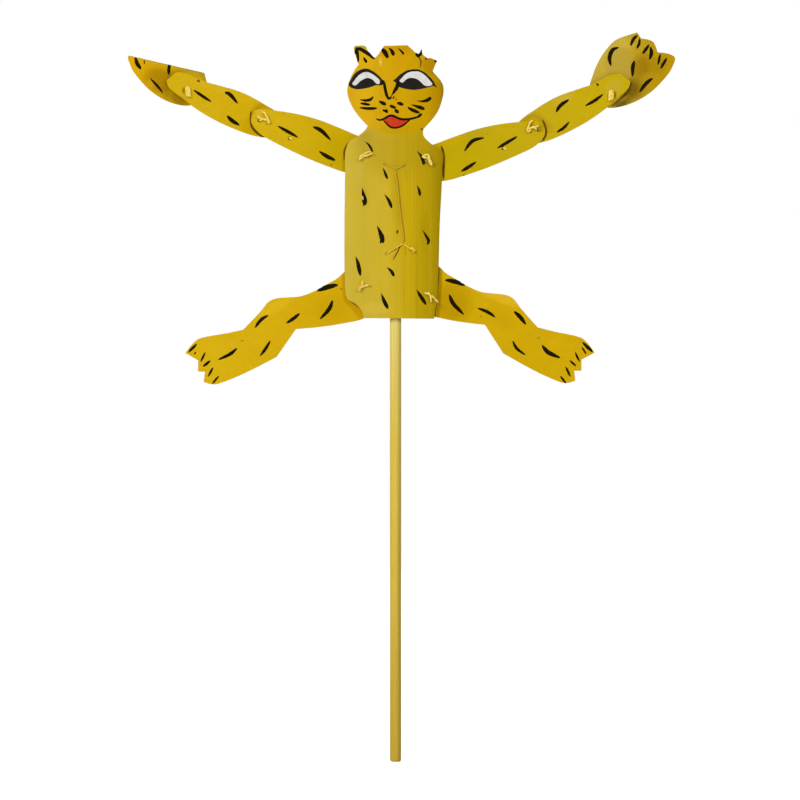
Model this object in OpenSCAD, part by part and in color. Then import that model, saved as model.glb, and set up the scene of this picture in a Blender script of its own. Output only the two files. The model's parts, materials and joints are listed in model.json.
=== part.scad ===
// Leaping cat on a stick: a flat puppet of painted card, strung with knotted
// cord. The face looks along -Y, +X is to the viewer's right, and the origin is
// the centre of the stick's lower end. Limbs are drawn in the leap, their rest.

/* [Stick] */
// Diameter of the stick
stick_d = 10.2; // [8:0.1:11]
// Free length of the stick, from its lower end to the body card
stick_free = 398.5; // [340:0.5:440]
// Length of the stick behind the body and the head
stick_behind = 200; // [175:5:225]
// How much the stick narrows behind the card
stick_taper = 1; // [0.5:0.1:1.5]
// Bevel at each end of the stick
stick_bevel = 0.8; // [0.4:0.1:1.5]

/* [Card] */
// Thickness of the card
card_t = 1; // [0.8:0.1:1.3]
// Gap between cards that slide past each other
slide_gap = 1.2; // [0.3:0.1:1.5]
// Gap between the body card and the stick that it is lashed to
seat_gap = 0.1; // [0.05:0.05:0.3]

/* [Body and head] */
// Width of the body
torso_w = 88; // [80:1:96]
// Height of the body, from its lower edge to the neck
torso_h = 171; // [160:1:190]
// Width of the head
head_w = 87; // [78:1:92]
// Height of the head, from the neck to the crown
head_h = 75; // [68:1:84]
// Width of the flat middle of the card, where it lies on the stick
flat_w = 40; // [36:1:44]
// Radius to which the card's left edge rolls back
roll_left = 85; // [75:1:120]
// Radius to which the card's right edge rolls back
roll_right = 62; // [55:1:120]

/* [Arms] */
// Left upper arm, from shoulder hole to elbow hole
upper_arm_left_span = 95.4; // [90:0.2:100]
// Right upper arm, from shoulder hole to elbow hole
upper_arm_right_span = 99.4; // [90:0.2:101]
// Card beyond both holes of the longer upper arm, which sets the length of both
upper_arm_ends = 24.6; // [22:0.2:30]
// Width of an upper arm
upper_arm_w = 36; // [32:0.5:38]
// Forearm, from elbow hole to wrist hole
forearm_l = 75; // [70:0.5:82]
// Width of a forearm
forearm_w = 33.5; // [30:0.5:36]
// Length of the left paw across its knuckles
hand_left_l = 74.5; // [70:0.5:88]
// Length of the right paw across its knuckles
hand_right_l = 81; // [70:0.5:88]
// Length of a paw from its heel to its claws
hand_h = 61; // [56:0.5:66]
// Rise of the left upper arm above level
upper_arm_left_rise = 20.2; // [5:0.1:35]
// Rise of the right upper arm above level
upper_arm_right_rise = 17.4; // [5:0.1:35]
// Rise of the left forearm above level
forearm_left_rise = 19.2; // [5:0.1:35]
// Rise of the right forearm above level
forearm_right_rise = 22.3; // [5:0.1:35]
// Rise of both paws' knuckles above level
hand_rise = 13; // [5:0.5:20]

/* [Curl of the left paw] */
// Radius of the tight curl
curl_r = 2; // [1.5:0.5:8]
// Angle through which the claws curl back
curl_angle = 118; // [90:1:130]
// Height above the wrist hole at which the curl starts
curl_start = 17.2; // [12:0.1:19]

/* [Warp of the right paw] */
// Radius of both bends of the warp
warp_r = 60; // [45:1:90]
// Angle of each bend
warp_angle = 13; // [6:1:16]
// Distance from the wrist hole at which the warp starts
warp_start = 20; // [17:0.5:24]

/* [Legs] */
// Length of a leg, from hip to toes
leg_l = 172; // [160:1:180]
// Height of a leg, from hip to the lowest toe
leg_h = 101; // [92:1:106]
// Slope of the right leg against the left one
leg_right_drop = 2; // [0:0.5:4]

/* [Cord] */
// Diameter of the cord that the joints are tied with
cord_d = 1.8; // [1.5:0.1:2]
// Diameter of the punched holes, which the doubled cord fills
hole_d = 3; // [2.6:0.1:3.4]
// Gap between a cord and the hole of the card that turns on it
turn_gap = 0.05; // [0.02:0.01:0.09]
// Gap between a knot and the card under it
knot_gap = 0.1; // [0.05:0.05:0.3]
// Diameter of the thread that lashes the body to the stick
thread_d = 1.1; // [0.9:0.1:1.6]
// Play of the thread in its holes
thread_play = 0.5; // [0.4:0.1:0.8]

/* [Hidden] */
$fn = 48;

left = -1;
right = 1;
leap_yellow = [0.84, 0.68, 0.10];
olive_yellow = [0.76, 0.65, 0.16];
cord_cream = [0.93, 0.83, 0.53];
stick_tan = [0.79, 0.67, 0.37];

// Sizes at which the outlines below are drawn
drawn_torso = [88, 171];
drawn_head = [87, 75];
drawn_upper_arm = [124, 36];
drawn_forearm = [75, 33.5];
drawn_hand = [81, 61];
drawn_leg = [172, 101];

// Depth of the shapes that cut through the whole puppet
through = 100;
// Steps of a curve between two points of an outline or a route
outline_steps = 4;
route_steps = 3;

// Outlines are lists of [across, up] in mm, and a third number 1 marks a corner.
// The head, from the left of the neck over both ears to the right of the neck
head_points = [
    [-25, 2.5, 1], [-30, 7.5], [-37, 16.5], [-41.4, 25], [-43.5, 34],
    [-42.3, 41], [-38.2, 50.5], [-33.3, 57.8, 1],
    [-35.9, 65.9], [-37.7, 72.3], [-36.6, 74.5, 1], [-27.5, 74.3], [-24.6, 69.6],
    [-18.7, 63.1, 1], [-15, 67.5], [-10.3, 74.4, 1],
    [10.7, 75, 1], [14.9, 71.2], [19, 67.6], [21.1, 67.1, 1],
    [23.5, 71.5, 1], [24.2, 67.4], [28.5, 63.4, 1], [31.8, 63.5], [37.2, 61.1, 1],
    [34.6, 54.7], [33.3, 51.5, 1], [36.9, 47.9], [42.1, 41.1],
    [43.3, 34], [41.8, 26], [38.5, 16.5], [33, 8.4], [25, -0.5, 1]
];
// The body, from the right of the neck round its lower edge to the left
torso_points = [
    [25.2, 164.6], [31.4, 158], [39, 153.3], [43, 148], [42.2, 138],
    [41.4, 116], [39.8, 85], [38.6, 40], [37.4, 22], [34.8, 0, 1],
    [-28.5, 0.5, 1], [-30, 6.5], [-36, 13.5], [-43.7, 18.5], [-45.6, 31],
    [-46.1, 75], [-45.5, 130], [-45, 151], [-41.4, 160], [-34, 164.2], [-27.4, 169.6]
];
// An upper arm, with its shoulder hole at [0, 0]
upper_arm_points = [
    [-14.5, 3], [-10, 10], [0, 13], [12, 13.6], [30, 14.6], [51, 15],
    [72, 13], [90, 9.4], [103.5, 6], [108.3, 2.8, 1], [108.4, -4.6],
    [105.8, -9.4], [99, -13.8], [92, -16.2], [71, -19], [49, -21], [28, -21.6], [10, -21],
    [-3, -17], [-12, -9]
];
// A forearm, with its elbow hole at [0, 0]
forearm_points = [
    [-16.5, -1], [-12.5, 6.2], [-4.5, 9.8], [4, 11.6], [14, 13.7], [24, 15.1],
    [34, 15.6], [44, 15.1], [54, 14.4], [61.5, 13.9], [73, 14.8], [82, 15.4],
    [90.6, 13.4, 1], [96.6, 3.3, 1], [93.5, -0.9], [89.4, -3.4], [84, -5.2],
    [75, -8.2], [66, -11.2], [55, -14], [44, -16], [33, -17.3], [18, -18.2],
    [5, -17.8], [-7, -15], [-14.5, -8.5]
];
// A paw, with its wrist hole at [0, 0]
hand_points = [
    [-16.4, 4], [-16.4, 12], [-11.5, 21], [-6.6, 28.4], [0.5, 36.5], [8, 43],
    [15, 47.3], [22, 49], [36.6, 50.1, 1], [39, 43.9, 1], [45.5, 41.4],
    [49.4, 37.8], [50.8, 28.7, 1], [58.4, 26], [64, 22.2], [65, 19.3],
    [62, 14.4], [57.1, 8.6], [48.2, 1.8], [37.6, -4.6], [25, -9.4],
    [14.8, -11.4], [4.8, -11.8], [-4.5, -10.2], [-12, -5]
];
// A leg, from the left hip's hole at [0, 0] down to its toes
leg_points = [
    [-13.5, -11], [-11, -3], [-4, 5], [5, 12.5], [11, 14.6], [15.4, 13],
    [22, 7], [31, 2], [40, -3.2], [54.4, -9], [65, -10], [76.8, -11],
    [84, -14.2], [91.6, -23.3], [106.8, -39.2, 1], [122, -42.5],
    [145.8, -47], [152.8, -52.4], [158.9, -60.2, 1],
    [147.3, -67, 1], [147.5, -77, 1], [141.2, -77.2, 1], [142.4, -86.3, 1],
    [135.6, -88.4], [128.6, -87.9], [104.2, -77.9], [76.6, -63.8, 1],
    [59.2, -38.7, 1], [36, -36.6], [14.6, -33.2], [-1.8, -29.2], [-9, -22]
];

// Holes in the body, in mm from the middle of its lower edge
shoulder_left_mark = [-27, 147.5];
shoulder_right_mark = [29.5, 143.5];
hip_left_mark = [-30.6, 29.5];
hip_right_mark = [32, 19.5];
upper_lash_left_mark = [-9.8, 139.3];
upper_lash_right_mark = [7.6, 138];
upper_lash_apex_mark = [0.4, 134.8];
lower_lash_left_mark = [-8.2, 59];
lower_lash_right_mark = [14.8, 62.3];
lower_lash_knot_mark = [6.8, 67.2];
// Where the right leg's hole sits on the leg's outline
leg_right_hole_mark = [9.8, -15.5];
// How far the outlines of these arm pieces sit below their line of holes
arm_left_sink = -0.4;
arm_right_sink = 1.8;
forearm_left_sink = 0.2;
forearm_right_sink = -1.6;
hand_left_sink = 1.5;

upper_arm_l = max(upper_arm_left_span, upper_arm_right_span) + upper_arm_ends;
torso_scale = [torso_w / drawn_torso.x, torso_h / drawn_torso.y];
head_scale = [head_w / drawn_head.x, head_h / drawn_head.y];
upper_arm_scale = [upper_arm_l / drawn_upper_arm.x, upper_arm_w / drawn_upper_arm.y];
forearm_scale = [forearm_l / drawn_forearm.x, forearm_w / drawn_forearm.y];
hand_left_scale = [hand_left_l / drawn_hand.x, hand_h / drawn_hand.y];
hand_right_scale = [hand_right_l / drawn_hand.x, hand_h / drawn_hand.y];
leg_scale = [leg_l / drawn_leg.x, leg_h / drawn_leg.y];
leg_right_hole = times(leg_right_hole_mark, leg_scale);

// Each tie's strands in front, where the doubled cord is hitched over itself. A strand
// is its points from the hole: [across, height over the card, up] in mm. Then the knot
// behind: the way its tails point, in degrees, and each tail's length in mm and how far
// it spreads from that way, in degrees
shoulder_left_knots = [
    [[[-5, 0.3, -4.4], [-1.5, 0.3, -1.4], [2, 0.2, -0.6], [5.9, 0, 1.4]],
     [[-4.6, 1.3, -1.4], [-1.2, 1.2, 0.6], [2, 0.6, 2.2], [4.6, 0, 2.9]],
     [[-3.7, 1.6, -0.4], [-4.7, 2, -2.6], [-5.6, 1.3, -4.6]]],
    [200, [[5, 20], [7, -10]]]];
shoulder_right_knots = [
    [[[-5.7, 0, 2.2], [-3, 0.4, 1.4], [0.4, 0.8, 0.6], [2.6, 1.2, -3], [2.6, 1, -5.8]],
     [[-5.4, 0.2, 1.6], [-3.4, 0.8, 3.4], [-1, 1.2, 4], [0.6, 1.7, 2],
      [0.8, 1.7, -1.6], [1.6, 0.9, -4.6]]],
    [-40, [[6, 10], [5, -20]]]];
elbow_left_knots = [
    [[[-3.6, 0.2, 5.9], [-1.4, 1, 5], [0.3, 1.5, 2.2], [1.9, 1.5, -1],
      [2.9, 1, -3], [1.4, 0.4, -3.9]],
     [[-8.3, 0.2, 2.1], [-5.6, 0.2, 0.4], [-2.6, 0.3, -0.6], [0.6, 0.3, -1.4], [2, 0.3, -2.6]],
     [[-5.7, 0, -2], [-3.8, 0.3, -0.6], [-1.6, 0.4, -0.2]]],
    [20, [[6, 30], [5, 0]]]];
elbow_right_knots = [
    [[[-0.7, 0.2, 5.5], [-2.9, 1, 4.2], [-4.5, 1.4, 0.7], [-5.6, 1, -2.9],
      [-4.1, 0.5, -4.5], [-2.6, 0.3, -2.4]],
     [[-5.2, 0.2, -2], [-1, 0.3, -0.9], [2, 0.3, -0.3], [5, 0, 1]],
     [[-1.4, 0.6, 0.3], [0.8, 0.6, -1.1], [2.9, 0, -2.8]]],
    [60, [[5, 20], [6, -20]]]];
wrist_left_knots = [
    [[[-1.5, 0.2, 4.3], [-2.1, 0.3, 1], [-1.5, 0.3, -1.6], [-0.8, 0, -4.4]],
     [[0.2, 0.9, 4.4], [0.1, 1.3, 0.8], [0.7, 1.2, -2], [1, 0.5, -4.6]],
     [[1.6, 0.2, 3.9], [2, 0.4, 1], [2.5, 0.4, -2], [2.8, 0, -5]]],
    [100, [[5, 40], [4, -20]]]];
wrist_right_knots = [
    [[[-0.8, 0.2, 4.3], [-1.1, 0.4, 1], [-1.1, 0.4, -2], [-1, 0, -5.2]],
     [[0.6, 0.9, 4.5], [1, 1.3, 2], [0.7, 1.3, -1], [0.3, 0.6, -4]],
     [[1.6, 0.2, 3.7], [2.5, 0.5, 1], [2.6, 0.5, -1.6], [1.8, 0.1, -4.1]]],
    [-100, [[6, 10], [6, -30]]]];
hip_left_knots = [
    [[[-2.3, 0.2, -4.4], [-0.8, 1, -1.4], [0.6, 1.2, 1.2], [1.2, 0.5, 4.5]],
     [[-1.4, 0.2, -2.2], [0.8, 0.3, -0.9], [3.2, 0.3, 0.1], [6.1, 0, 0.7]],
     [[-1.9, 1.3, -0.4], [-1.9, 1.7, -2.2], [-1.2, 1, -4]]],
    [-70, [[5, 20], [6, -20]]]];
hip_right_knots = [
    [[[-5.9, 0, 3.6], [-3, 0.6, 2.8], [-0.8, 1.3, 1.4], [-0.2, 1.3, -1.4], [0, 0.4, -4.2]],
     [[-0.8, 0.3, 1.6], [1.4, 0.3, 0.4], [3.6, 0.2, -2], [6.2, 0, -4.7]],
     [[-2.6, 0, 4.6], [-1.6, 0.3, 2.4], [-0.6, 0.4, 0.2]]],
    [-150, [[5, 30], [7, -10]]]];

// Depths: the body lies on the stick, and each card behind it slides on the last
stick_r = stick_d / 2;
torso_back = -stick_r - seat_gap;
torso_front = torso_back - card_t;
torso_left_edge = torso_w * 0.525;
torso_right_edge = torso_w * 0.5;
roll_depth = max(roll_sag(torso_left_edge, roll_left),
                 roll_sag(torso_right_edge, roll_right));
limb_front = torso_back + roll_depth + slide_gap;
forearm_front = limb_front + card_t + slide_gap;
hand_front = forearm_front + card_t + slide_gap;

// Places of the pivots
shoulder_left = on_torso(shoulder_left_mark);
shoulder_right = on_torso(shoulder_right_mark);
hip_left = on_torso(hip_left_mark);
hip_right = on_torso(hip_right_mark);
elbow_left = shoulder_left + reach(left, upper_arm_left_rise, upper_arm_left_span);
elbow_right = shoulder_right + reach(right, upper_arm_right_rise, upper_arm_right_span);
wrist_left = elbow_left + reach(left, forearm_left_rise, forearm_l);
wrist_right = elbow_right + reach(right, forearm_right_rise, forearm_l);

// The overhand knot behind a tie: loop size, its depth, and the part that is drawn
knot_loop = 0.8 * cord_d;
knot_depth = 0.97 * cord_d;
knot_from = 100;
knot_to = 380;
knot_step = 14;
tail_heading = 30;
cord_sides = 6;
strand_sides = 8;
thread_sides = 8;
knot_lift = knot_depth + cord_d / 2 + knot_gap;
strand_lift = cord_d / 2 + knot_gap;

function times(p, scale) = [p.x * scale.x, p.y * scale.y];
function on_torso(mark) = times(mark, torso_scale) + [0, stick_free];
function reach(side, rise, length) = length * [side * cos(rise), sin(rise)];
// Depth by which a rolled edge falls back at a distance from the middle
function roll_sag(across, radius) =
    let (past = max(0, across - flat_w / 2)) radius - sqrt(radius * radius - past * past);
function sag_at(x) = x < 0 ? roll_sag(-x, roll_left) : roll_sag(x, roll_right);

function heading(a, b) = (b - a) / norm(b - a);
function blend(a, b, from, to, t) =
    (2 * t^3 - 3 * t^2 + 1) * a + (t^3 - 2 * t^2 + t) * from
    + (3 * t^2 - 2 * t^3) * b + (t^3 - t^2) * to;

// A closed outline: smooth through plain points, angled at corners
function is_corner(p) = len(p) == 3;
function outline_heading(p, i, a, b) =
    let (n = len(p), here = p[(i + n) % n])
    is_corner(here) ? heading(a, b)
    : heading(flat(p[(i + n - 1) % n]), flat(p[(i + 1) % n]));
function flat(p) = [p.x, p.y];
function outline(p) = [
    for (i = [0 : len(p) - 1])
        let (j = (i + 1) % len(p), a = flat(p[i]), b = flat(p[j]), span = norm(b - a),
             from = span * outline_heading(p, i, a, b),
             to = span * outline_heading(p, j, a, b),
             steps = is_corner(p[i]) && is_corner(p[j]) ? 1 : outline_steps)
        for (k = [0 : steps - 1]) blend(a, b, from, to, k / steps)
];
function scaled(p, scale, sink = 0) =
    [for (q = p) is_corner(q) ? [q.x * scale.x, q.y * scale.y - sink, 1]
                              : [q.x * scale.x, q.y * scale.y - sink]];
function moved(p, by) =
    [for (q = p) is_corner(q) ? [q.x + by.x, q.y + by.y, 1] : [q.x + by.x, q.y + by.y]];

// A route through points in space, with curves between them
function route_heading(p, i) =
    heading(p[max(0, i - 1)], p[min(len(p) - 1, i + 1)]);
function route(p) = [
    for (i = [0 : len(p) - 2])
        let (span = norm(p[i + 1] - p[i]))
        for (k = [0 : route_steps - 1])
            blend(p[i], p[i + 1], span * route_heading(p, i),
                  span * route_heading(p, i + 1), k / route_steps),
    p[len(p) - 1]
];

// A round cord along a route; side_on is a direction that the route never takes
module cord(path, d, side_on, sides) {
    n = len(path);
    points = [
        for (i = [0 : n - 1])
            let (along = route_heading(path, i),
                 u = heading([0, 0, 0], cross(along, side_on)), v = cross(u, along))
            for (k = [0 : sides - 1])
                path[i] + d / 2 * (cos(360 * k / sides) * u + sin(360 * k / sides) * v)
    ];
    walls = [
        for (i = [0 : n - 2], k = [0 : sides - 1])
            let (a = i * sides + k, b = i * sides + (k + 1) % sides)
            for (face = [[a, b, a + sides], [b, b + sides, a + sides]]) face
    ];
    caps = [
        for (k = [1 : sides - 2])
            for (face = [[0, k + 1, k], [0, k, k + 1] + (n - 1) * sides * [1, 1, 1]]) face
    ];
    polyhedron(points, concat(walls, caps));
}

// The route of an overhand knot lying flat, with its two tails side by side
function knot_point(a) =
    [knot_loop * (sin(a) + 2 * sin(2 * a)), -knot_depth * sin(3 * a),
     knot_loop * (cos(a) - 2 * cos(2 * a))];
function tail_point(start, length, spread, share) =
    let (a = tail_heading + spread * share / 2)
    start + length * share * [cos(a), 0, sin(a)];
function turned(p, a) = [p.x * cos(a) - p.z * sin(a), p.y, p.x * sin(a) + p.z * cos(a)];
function overhand(knot) =
    let (turn = knot[0], tails = knot[1], shares = [1, 0.66, 0.33],
         a = knot_point(knot_from), b = knot_point(knot_to))
    [for (p = concat(
        [for (s = shares) tail_point(a, tails[0].x, tails[0].y, s)],
        [for (t = [knot_from : knot_step : knot_to]) knot_point(t)],
        [for (k = [2 : -1 : 0]) tail_point(b, tails[1].x, tails[1].y, shares[k])]))
     turned(p, turn - tail_heading)];

// A tie: the doubled cord through both cards, hitched over itself in front, where its
// strands lie on the card, and knotted behind
module tie(at, front, back, knots) {
    through_front = card_front(front, at.x) - strand_lift;
    color(cord_cream) {
        translate([at.x, through_front, at.y]) rotate([-90, 0, 0])
            cylinder(h = back + knot_lift - through_front, d = hole_d);
        for (strand = knots[0])
            cord(route([for (p = strand)
                [at.x + p.x, card_front(front, at.x + p.x) - strand_lift - p.y, at.y + p.z]]),
                cord_d, [0, 1, 0], strand_sides);
        translate([at.x, back + knot_lift, at.y])
            cord(overhand(knots[1]), cord_d, [0, 1, 0], cord_sides);
    }
}
// The front of the card that a tie's strands lie on, which rolls back on the body
function card_front(front, x) = front == torso_front ? torso_front + sag_at(x) : front;

// A flat sheet cut to an outline, with its front at the given depth
module sheet(points, front, depth = card_t) {
    translate([0, front + depth, 0]) rotate([90, 0, 0])
        linear_extrude(depth) polygon(points);
}
module hole(at, d) {
    translate([at.x, -through / 2, at.y]) rotate([-90, 0, 0]) cylinder(h = through, d = d);
}
module turning_hole(at) { hole(at, hole_d + 2 * turn_gap); }
module thread_hole(mark) { hole(on_torso(mark), thread_d + thread_play); }
// A piece drawn for the right side, put on its pivot on either side
module on_pivot(at, side, rise) {
    translate([at.x, 0, at.y]) rotate([0, -side * rise, 0])
        mirror([side == left ? 1 : 0, 0, 0]) children();
}

// The rolled section that the body and head card is bent to
module rolled_card(low, high) {
    translate([-flat_w / 2, torso_front, low]) cube([flat_w, card_t, high - low]);
    rolled_edge(left, roll_left, torso_w, low, high);
    rolled_edge(right, roll_right, torso_w, low, high);
}
module rolled_edge(side, radius, reach, low, high) {
    intersection() {
        translate([side * flat_w / 2, torso_back + radius, low]) difference() {
            cylinder(h = high - low, r = radius + card_t, $fn = 180);
            translate([0, 0, -1]) cylinder(h = high - low + 2, r = radius, $fn = 180);
        }
        translate([side == left ? -reach : flat_w / 2, torso_front, low])
            cube([reach - flat_w / 2, radius, high - low]);
    }
}

module torso() {
    body_outline = concat(
        moved(scaled(head_points, head_scale), [0, stick_free + torso_h]),
        moved(scaled(torso_points, torso_scale), [0, stick_free]));
    color(olive_yellow) difference() {
        intersection() {
            rolled_card(stick_free - through / 2, stick_free + torso_h + head_h + through / 2);
            sheet(outline(body_outline), -through / 2, through);
        }
        for (at = [shoulder_left, shoulder_right, hip_left, hip_right]) hole(at, hole_d);
        for (mark = [upper_lash_left_mark, upper_lash_right_mark,
                     lower_lash_left_mark, lower_lash_right_mark]) thread_hole(mark);
    }
}

module stick() {
    wide = stick_r;
    narrow = stick_r - stick_taper / 2;
    color(stick_tan) rotate_extrude() polygon([
        [0, 0], [wide - stick_bevel, 0], [wide, stick_bevel],
        [wide, stick_free - 4], [narrow, stick_free + stick_behind - stick_bevel],
        [narrow - stick_bevel, stick_free + stick_behind], [0, stick_free + stick_behind]
    ]);
}

module upper_arm(at, side, rise, span, sink) {
    color(leap_yellow) on_pivot(at, side, rise) difference() {
        sheet(outline(scaled(upper_arm_points, upper_arm_scale, sink)), limb_front);
        turning_hole([0, 0]);
        hole([span, 0], hole_d);
    }
}

module forearm(at, side, rise, sink) {
    color(leap_yellow) on_pivot(at, side, rise) difference() {
        sheet(outline(scaled(forearm_points, forearm_scale, sink)), forearm_front);
        turning_hole([0, 0]);
        hole([forearm_l, 0], hole_d);
    }
}

// The left paw: flat at the wrist, then curled, with its claws pointing back
module hand_left() {
    points = outline(scaled(hand_points, hand_left_scale, hand_left_sink));
    curl_mid = curl_r + card_t / 2;
    arc_l = curl_mid * curl_angle * PI / 180;
    chord_l = 2 * curl_mid * sin(curl_angle / 2);
    // The part of the outline that the curl takes, drawn to the curl's chord
    curled = [for (p = points) [p.x, (p.y - curl_start) * chord_l / arc_l - chord_l / 2]];
    wide = hand_left_l * 2;
    // The flat parts run this far into the curl
    seam = 0.2;
    color(leap_yellow) on_pivot(wrist_left, left, hand_rise) difference() {
        union() {
            intersection() {
                sheet(points, hand_front);
                translate([-wide, -wide, curl_start - wide]) cube([2 * wide, 2 * wide, wide + seam]);
            }
            translate([0, hand_front + card_t + curl_r, curl_start]) {
                intersection() {
                    rotate([90, 0, -90]) rotate_extrude(angle = curl_angle, $fn = 60)
                        translate([curl_r, -wide]) square([card_t, 2 * wide]);
                    rotate([-curl_angle / 2, 0, 0]) sheet(curled, -wide, 2 * wide);
                }
                rotate([-curl_angle, 0, 0]) intersection() {
                    translate([0, 0, -curl_start - arc_l]) sheet(points, -card_t - curl_r);
                    translate([-wide, -wide, -seam]) cube(2 * wide);
                }
            }
        }
        turning_hole([0, 0]);
    }
}
// The right paw: it steps back in two gentle bends
module hand_right() {
    color(leap_yellow) on_pivot(wrist_right, right, hand_rise) difference() {
        intersection() {
            rotate([0, hand_rise, 0]) warped_card();
            sheet(outline(scaled(hand_points, hand_right_scale)), -through / 2, through);
        }
        turning_hole([0, 0]);
    }
}
module warped_card() {
    bend_w = warp_r * sin(warp_angle);
    step = warp_r * (1 - cos(warp_angle));
    wide = hand_right_l * 2;
    translate([-wide, hand_front, -wide]) cube([wide + warp_start, card_t, 2 * wide]);
    bend(warp_start, bend_w, hand_front + card_t + warp_r, -1);
    bend(warp_start + bend_w, bend_w, hand_front + 2 * step - warp_r, 1);
    translate([warp_start + 2 * bend_w, hand_front + 2 * step, -wide])
        cube([wide, card_t, 2 * wide]);
}
module bend(from, width, centre, way) {
    inner = warp_r;
    outer = warp_r + card_t;
    axis = way < 0 ? from : from + width;
    intersection() {
        translate([axis, centre, -hand_right_l]) difference() {
            cylinder(h = 2 * hand_right_l, r = outer, $fn = 180);
            translate([0, 0, -1]) cylinder(h = 2 * hand_right_l + 2, r = inner, $fn = 180);
        }
        translate([from, way < 0 ? centre - outer - 1 : centre, -hand_right_l])
            cube([width, outer + 1, 2 * hand_right_l]);
    }
}

module leg(at, side, rise, hole_at) {
    color(leap_yellow) on_pivot(at, side, rise) difference() {
        sheet(outline(moved(scaled(leg_points, leg_scale), -hole_at)), limb_front);
        turning_hole([0, 0]);
    }
}

// A lashing: from the front thread out to both holes and round behind the stick
thread_r = thread_d / 2;
thread_front = torso_front - thread_r - knot_gap;
round_stick = stick_r + thread_r + 2 * knot_gap;
function lashing(knot, hole_left, hole_right) =
    let (z_left = hole_left.y, z_right = hole_right.y, turn = thread_r + 0.4)
    concat(
        [[knot.x + 0.2, thread_front, knot.y],
         [(knot.x + hole_right.x) / 2, thread_front, (knot.y + z_right) / 2],
         [hole_right.x - turn, thread_front, z_right],
         [hole_right.x - 0.25 * turn, thread_front + 0.35 * turn, z_right],
         [hole_right.x, thread_front + 1.3 * turn, z_right],
         [hole_right.x, torso_back + thread_r, z_right]],
        [for (a = [0 : 30 : 180])
            [round_stick * cos(a), round_stick * sin(a),
             z_right + (z_left - z_right) * a / 180]],
        [[hole_left.x, torso_back + thread_r, z_left],
         [hole_left.x, thread_front + 1.3 * turn, z_left],
         [hole_left.x + 0.25 * turn, thread_front + 0.35 * turn, z_left],
         [hole_left.x + turn, thread_front, z_left],
         [(knot.x + hole_left.x) / 2, thread_front, (knot.y + z_left) / 2],
         [knot.x - thread_d - 0.2, thread_front, knot.y]]);

module upper_lashing() {
    color(cord_cream) cord(
        route(lashing(on_torso(upper_lash_apex_mark), on_torso(upper_lash_left_mark),
                      on_torso(upper_lash_right_mark))),
        thread_d, [0, 0, 1], thread_sides);
}

module lower_lashing() {
    color(cord_cream) cord(
        route(lashing(on_torso(lower_lash_knot_mark), on_torso(lower_lash_left_mark),
                      on_torso(lower_lash_right_mark))),
        thread_d, [0, 0, 1], thread_sides);
}

// The thread down the front, from the upper lashing to a knot at the lower one
module front_thread() {
    top = on_torso(upper_lash_apex_mark);
    low = on_torso(lower_lash_knot_mark);
    gap = thread_d + knot_gap;
    path = [
        [top.x, thread_front, top.y - gap],
        [top.x + 0.35 * (low.x - top.x), thread_front, top.y + 0.25 * (low.y - top.y)],
        [top.x + 0.7 * (low.x - top.x), thread_front, top.y + 0.6 * (low.y - top.y)],
        [low.x + 0.9, thread_front, low.y + 6],
        [low.x, thread_front, low.y + gap]
    ];
    color(cord_cream) cord(route(path), thread_d, [0, 1, 0], thread_sides);
}

torso();
stick();
upper_lashing();
lower_lashing();
front_thread();
upper_arm(shoulder_left, left, upper_arm_left_rise, upper_arm_left_span, arm_left_sink);  // upper_arm_left
upper_arm(shoulder_right, right, upper_arm_right_rise, upper_arm_right_span, arm_right_sink);  // upper_arm_right
forearm(elbow_left, left, forearm_left_rise, forearm_left_sink);  // forearm_left
forearm(elbow_right, right, forearm_right_rise, forearm_right_sink);  // forearm_right
hand_left();
hand_right();
leg(hip_left, left, 0, [0, 0]);  // leg_left
leg(hip_right, right, -leg_right_drop, leg_right_hole);  // leg_right
tie(shoulder_left, torso_front, limb_front + card_t + slide_gap, shoulder_left_knots);  // shoulder_cord_left
tie(shoulder_right, torso_front, limb_front + card_t + slide_gap, shoulder_right_knots);  // shoulder_cord_right
tie(elbow_left, limb_front, forearm_front + card_t + slide_gap, elbow_left_knots);  // elbow_cord_left
tie(elbow_right, limb_front, forearm_front + card_t + slide_gap, elbow_right_knots);  // elbow_cord_right
tie(wrist_left, forearm_front, hand_front + card_t + slide_gap, wrist_left_knots);  // wrist_cord_left
tie(wrist_right, forearm_front, hand_front + card_t + slide_gap, wrist_right_knots);  // wrist_cord_right
tie(hip_left, torso_front, limb_front + card_t + slide_gap, hip_left_knots);  // hip_cord_left
tie(hip_right, torso_front, limb_front + card_t + slide_gap, hip_right_knots);  // hip_cord_right
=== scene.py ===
# Leaping cat on a stick: a jumping puppet of hand-painted card, strung with
# knotted twine. Sizes and routes are in millimetres and turn into metres as the
# pieces are made.
import json
import math

import bmesh
import bpy
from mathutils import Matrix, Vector, noise
from mathutils.bvhtree import BVHTree


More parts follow.
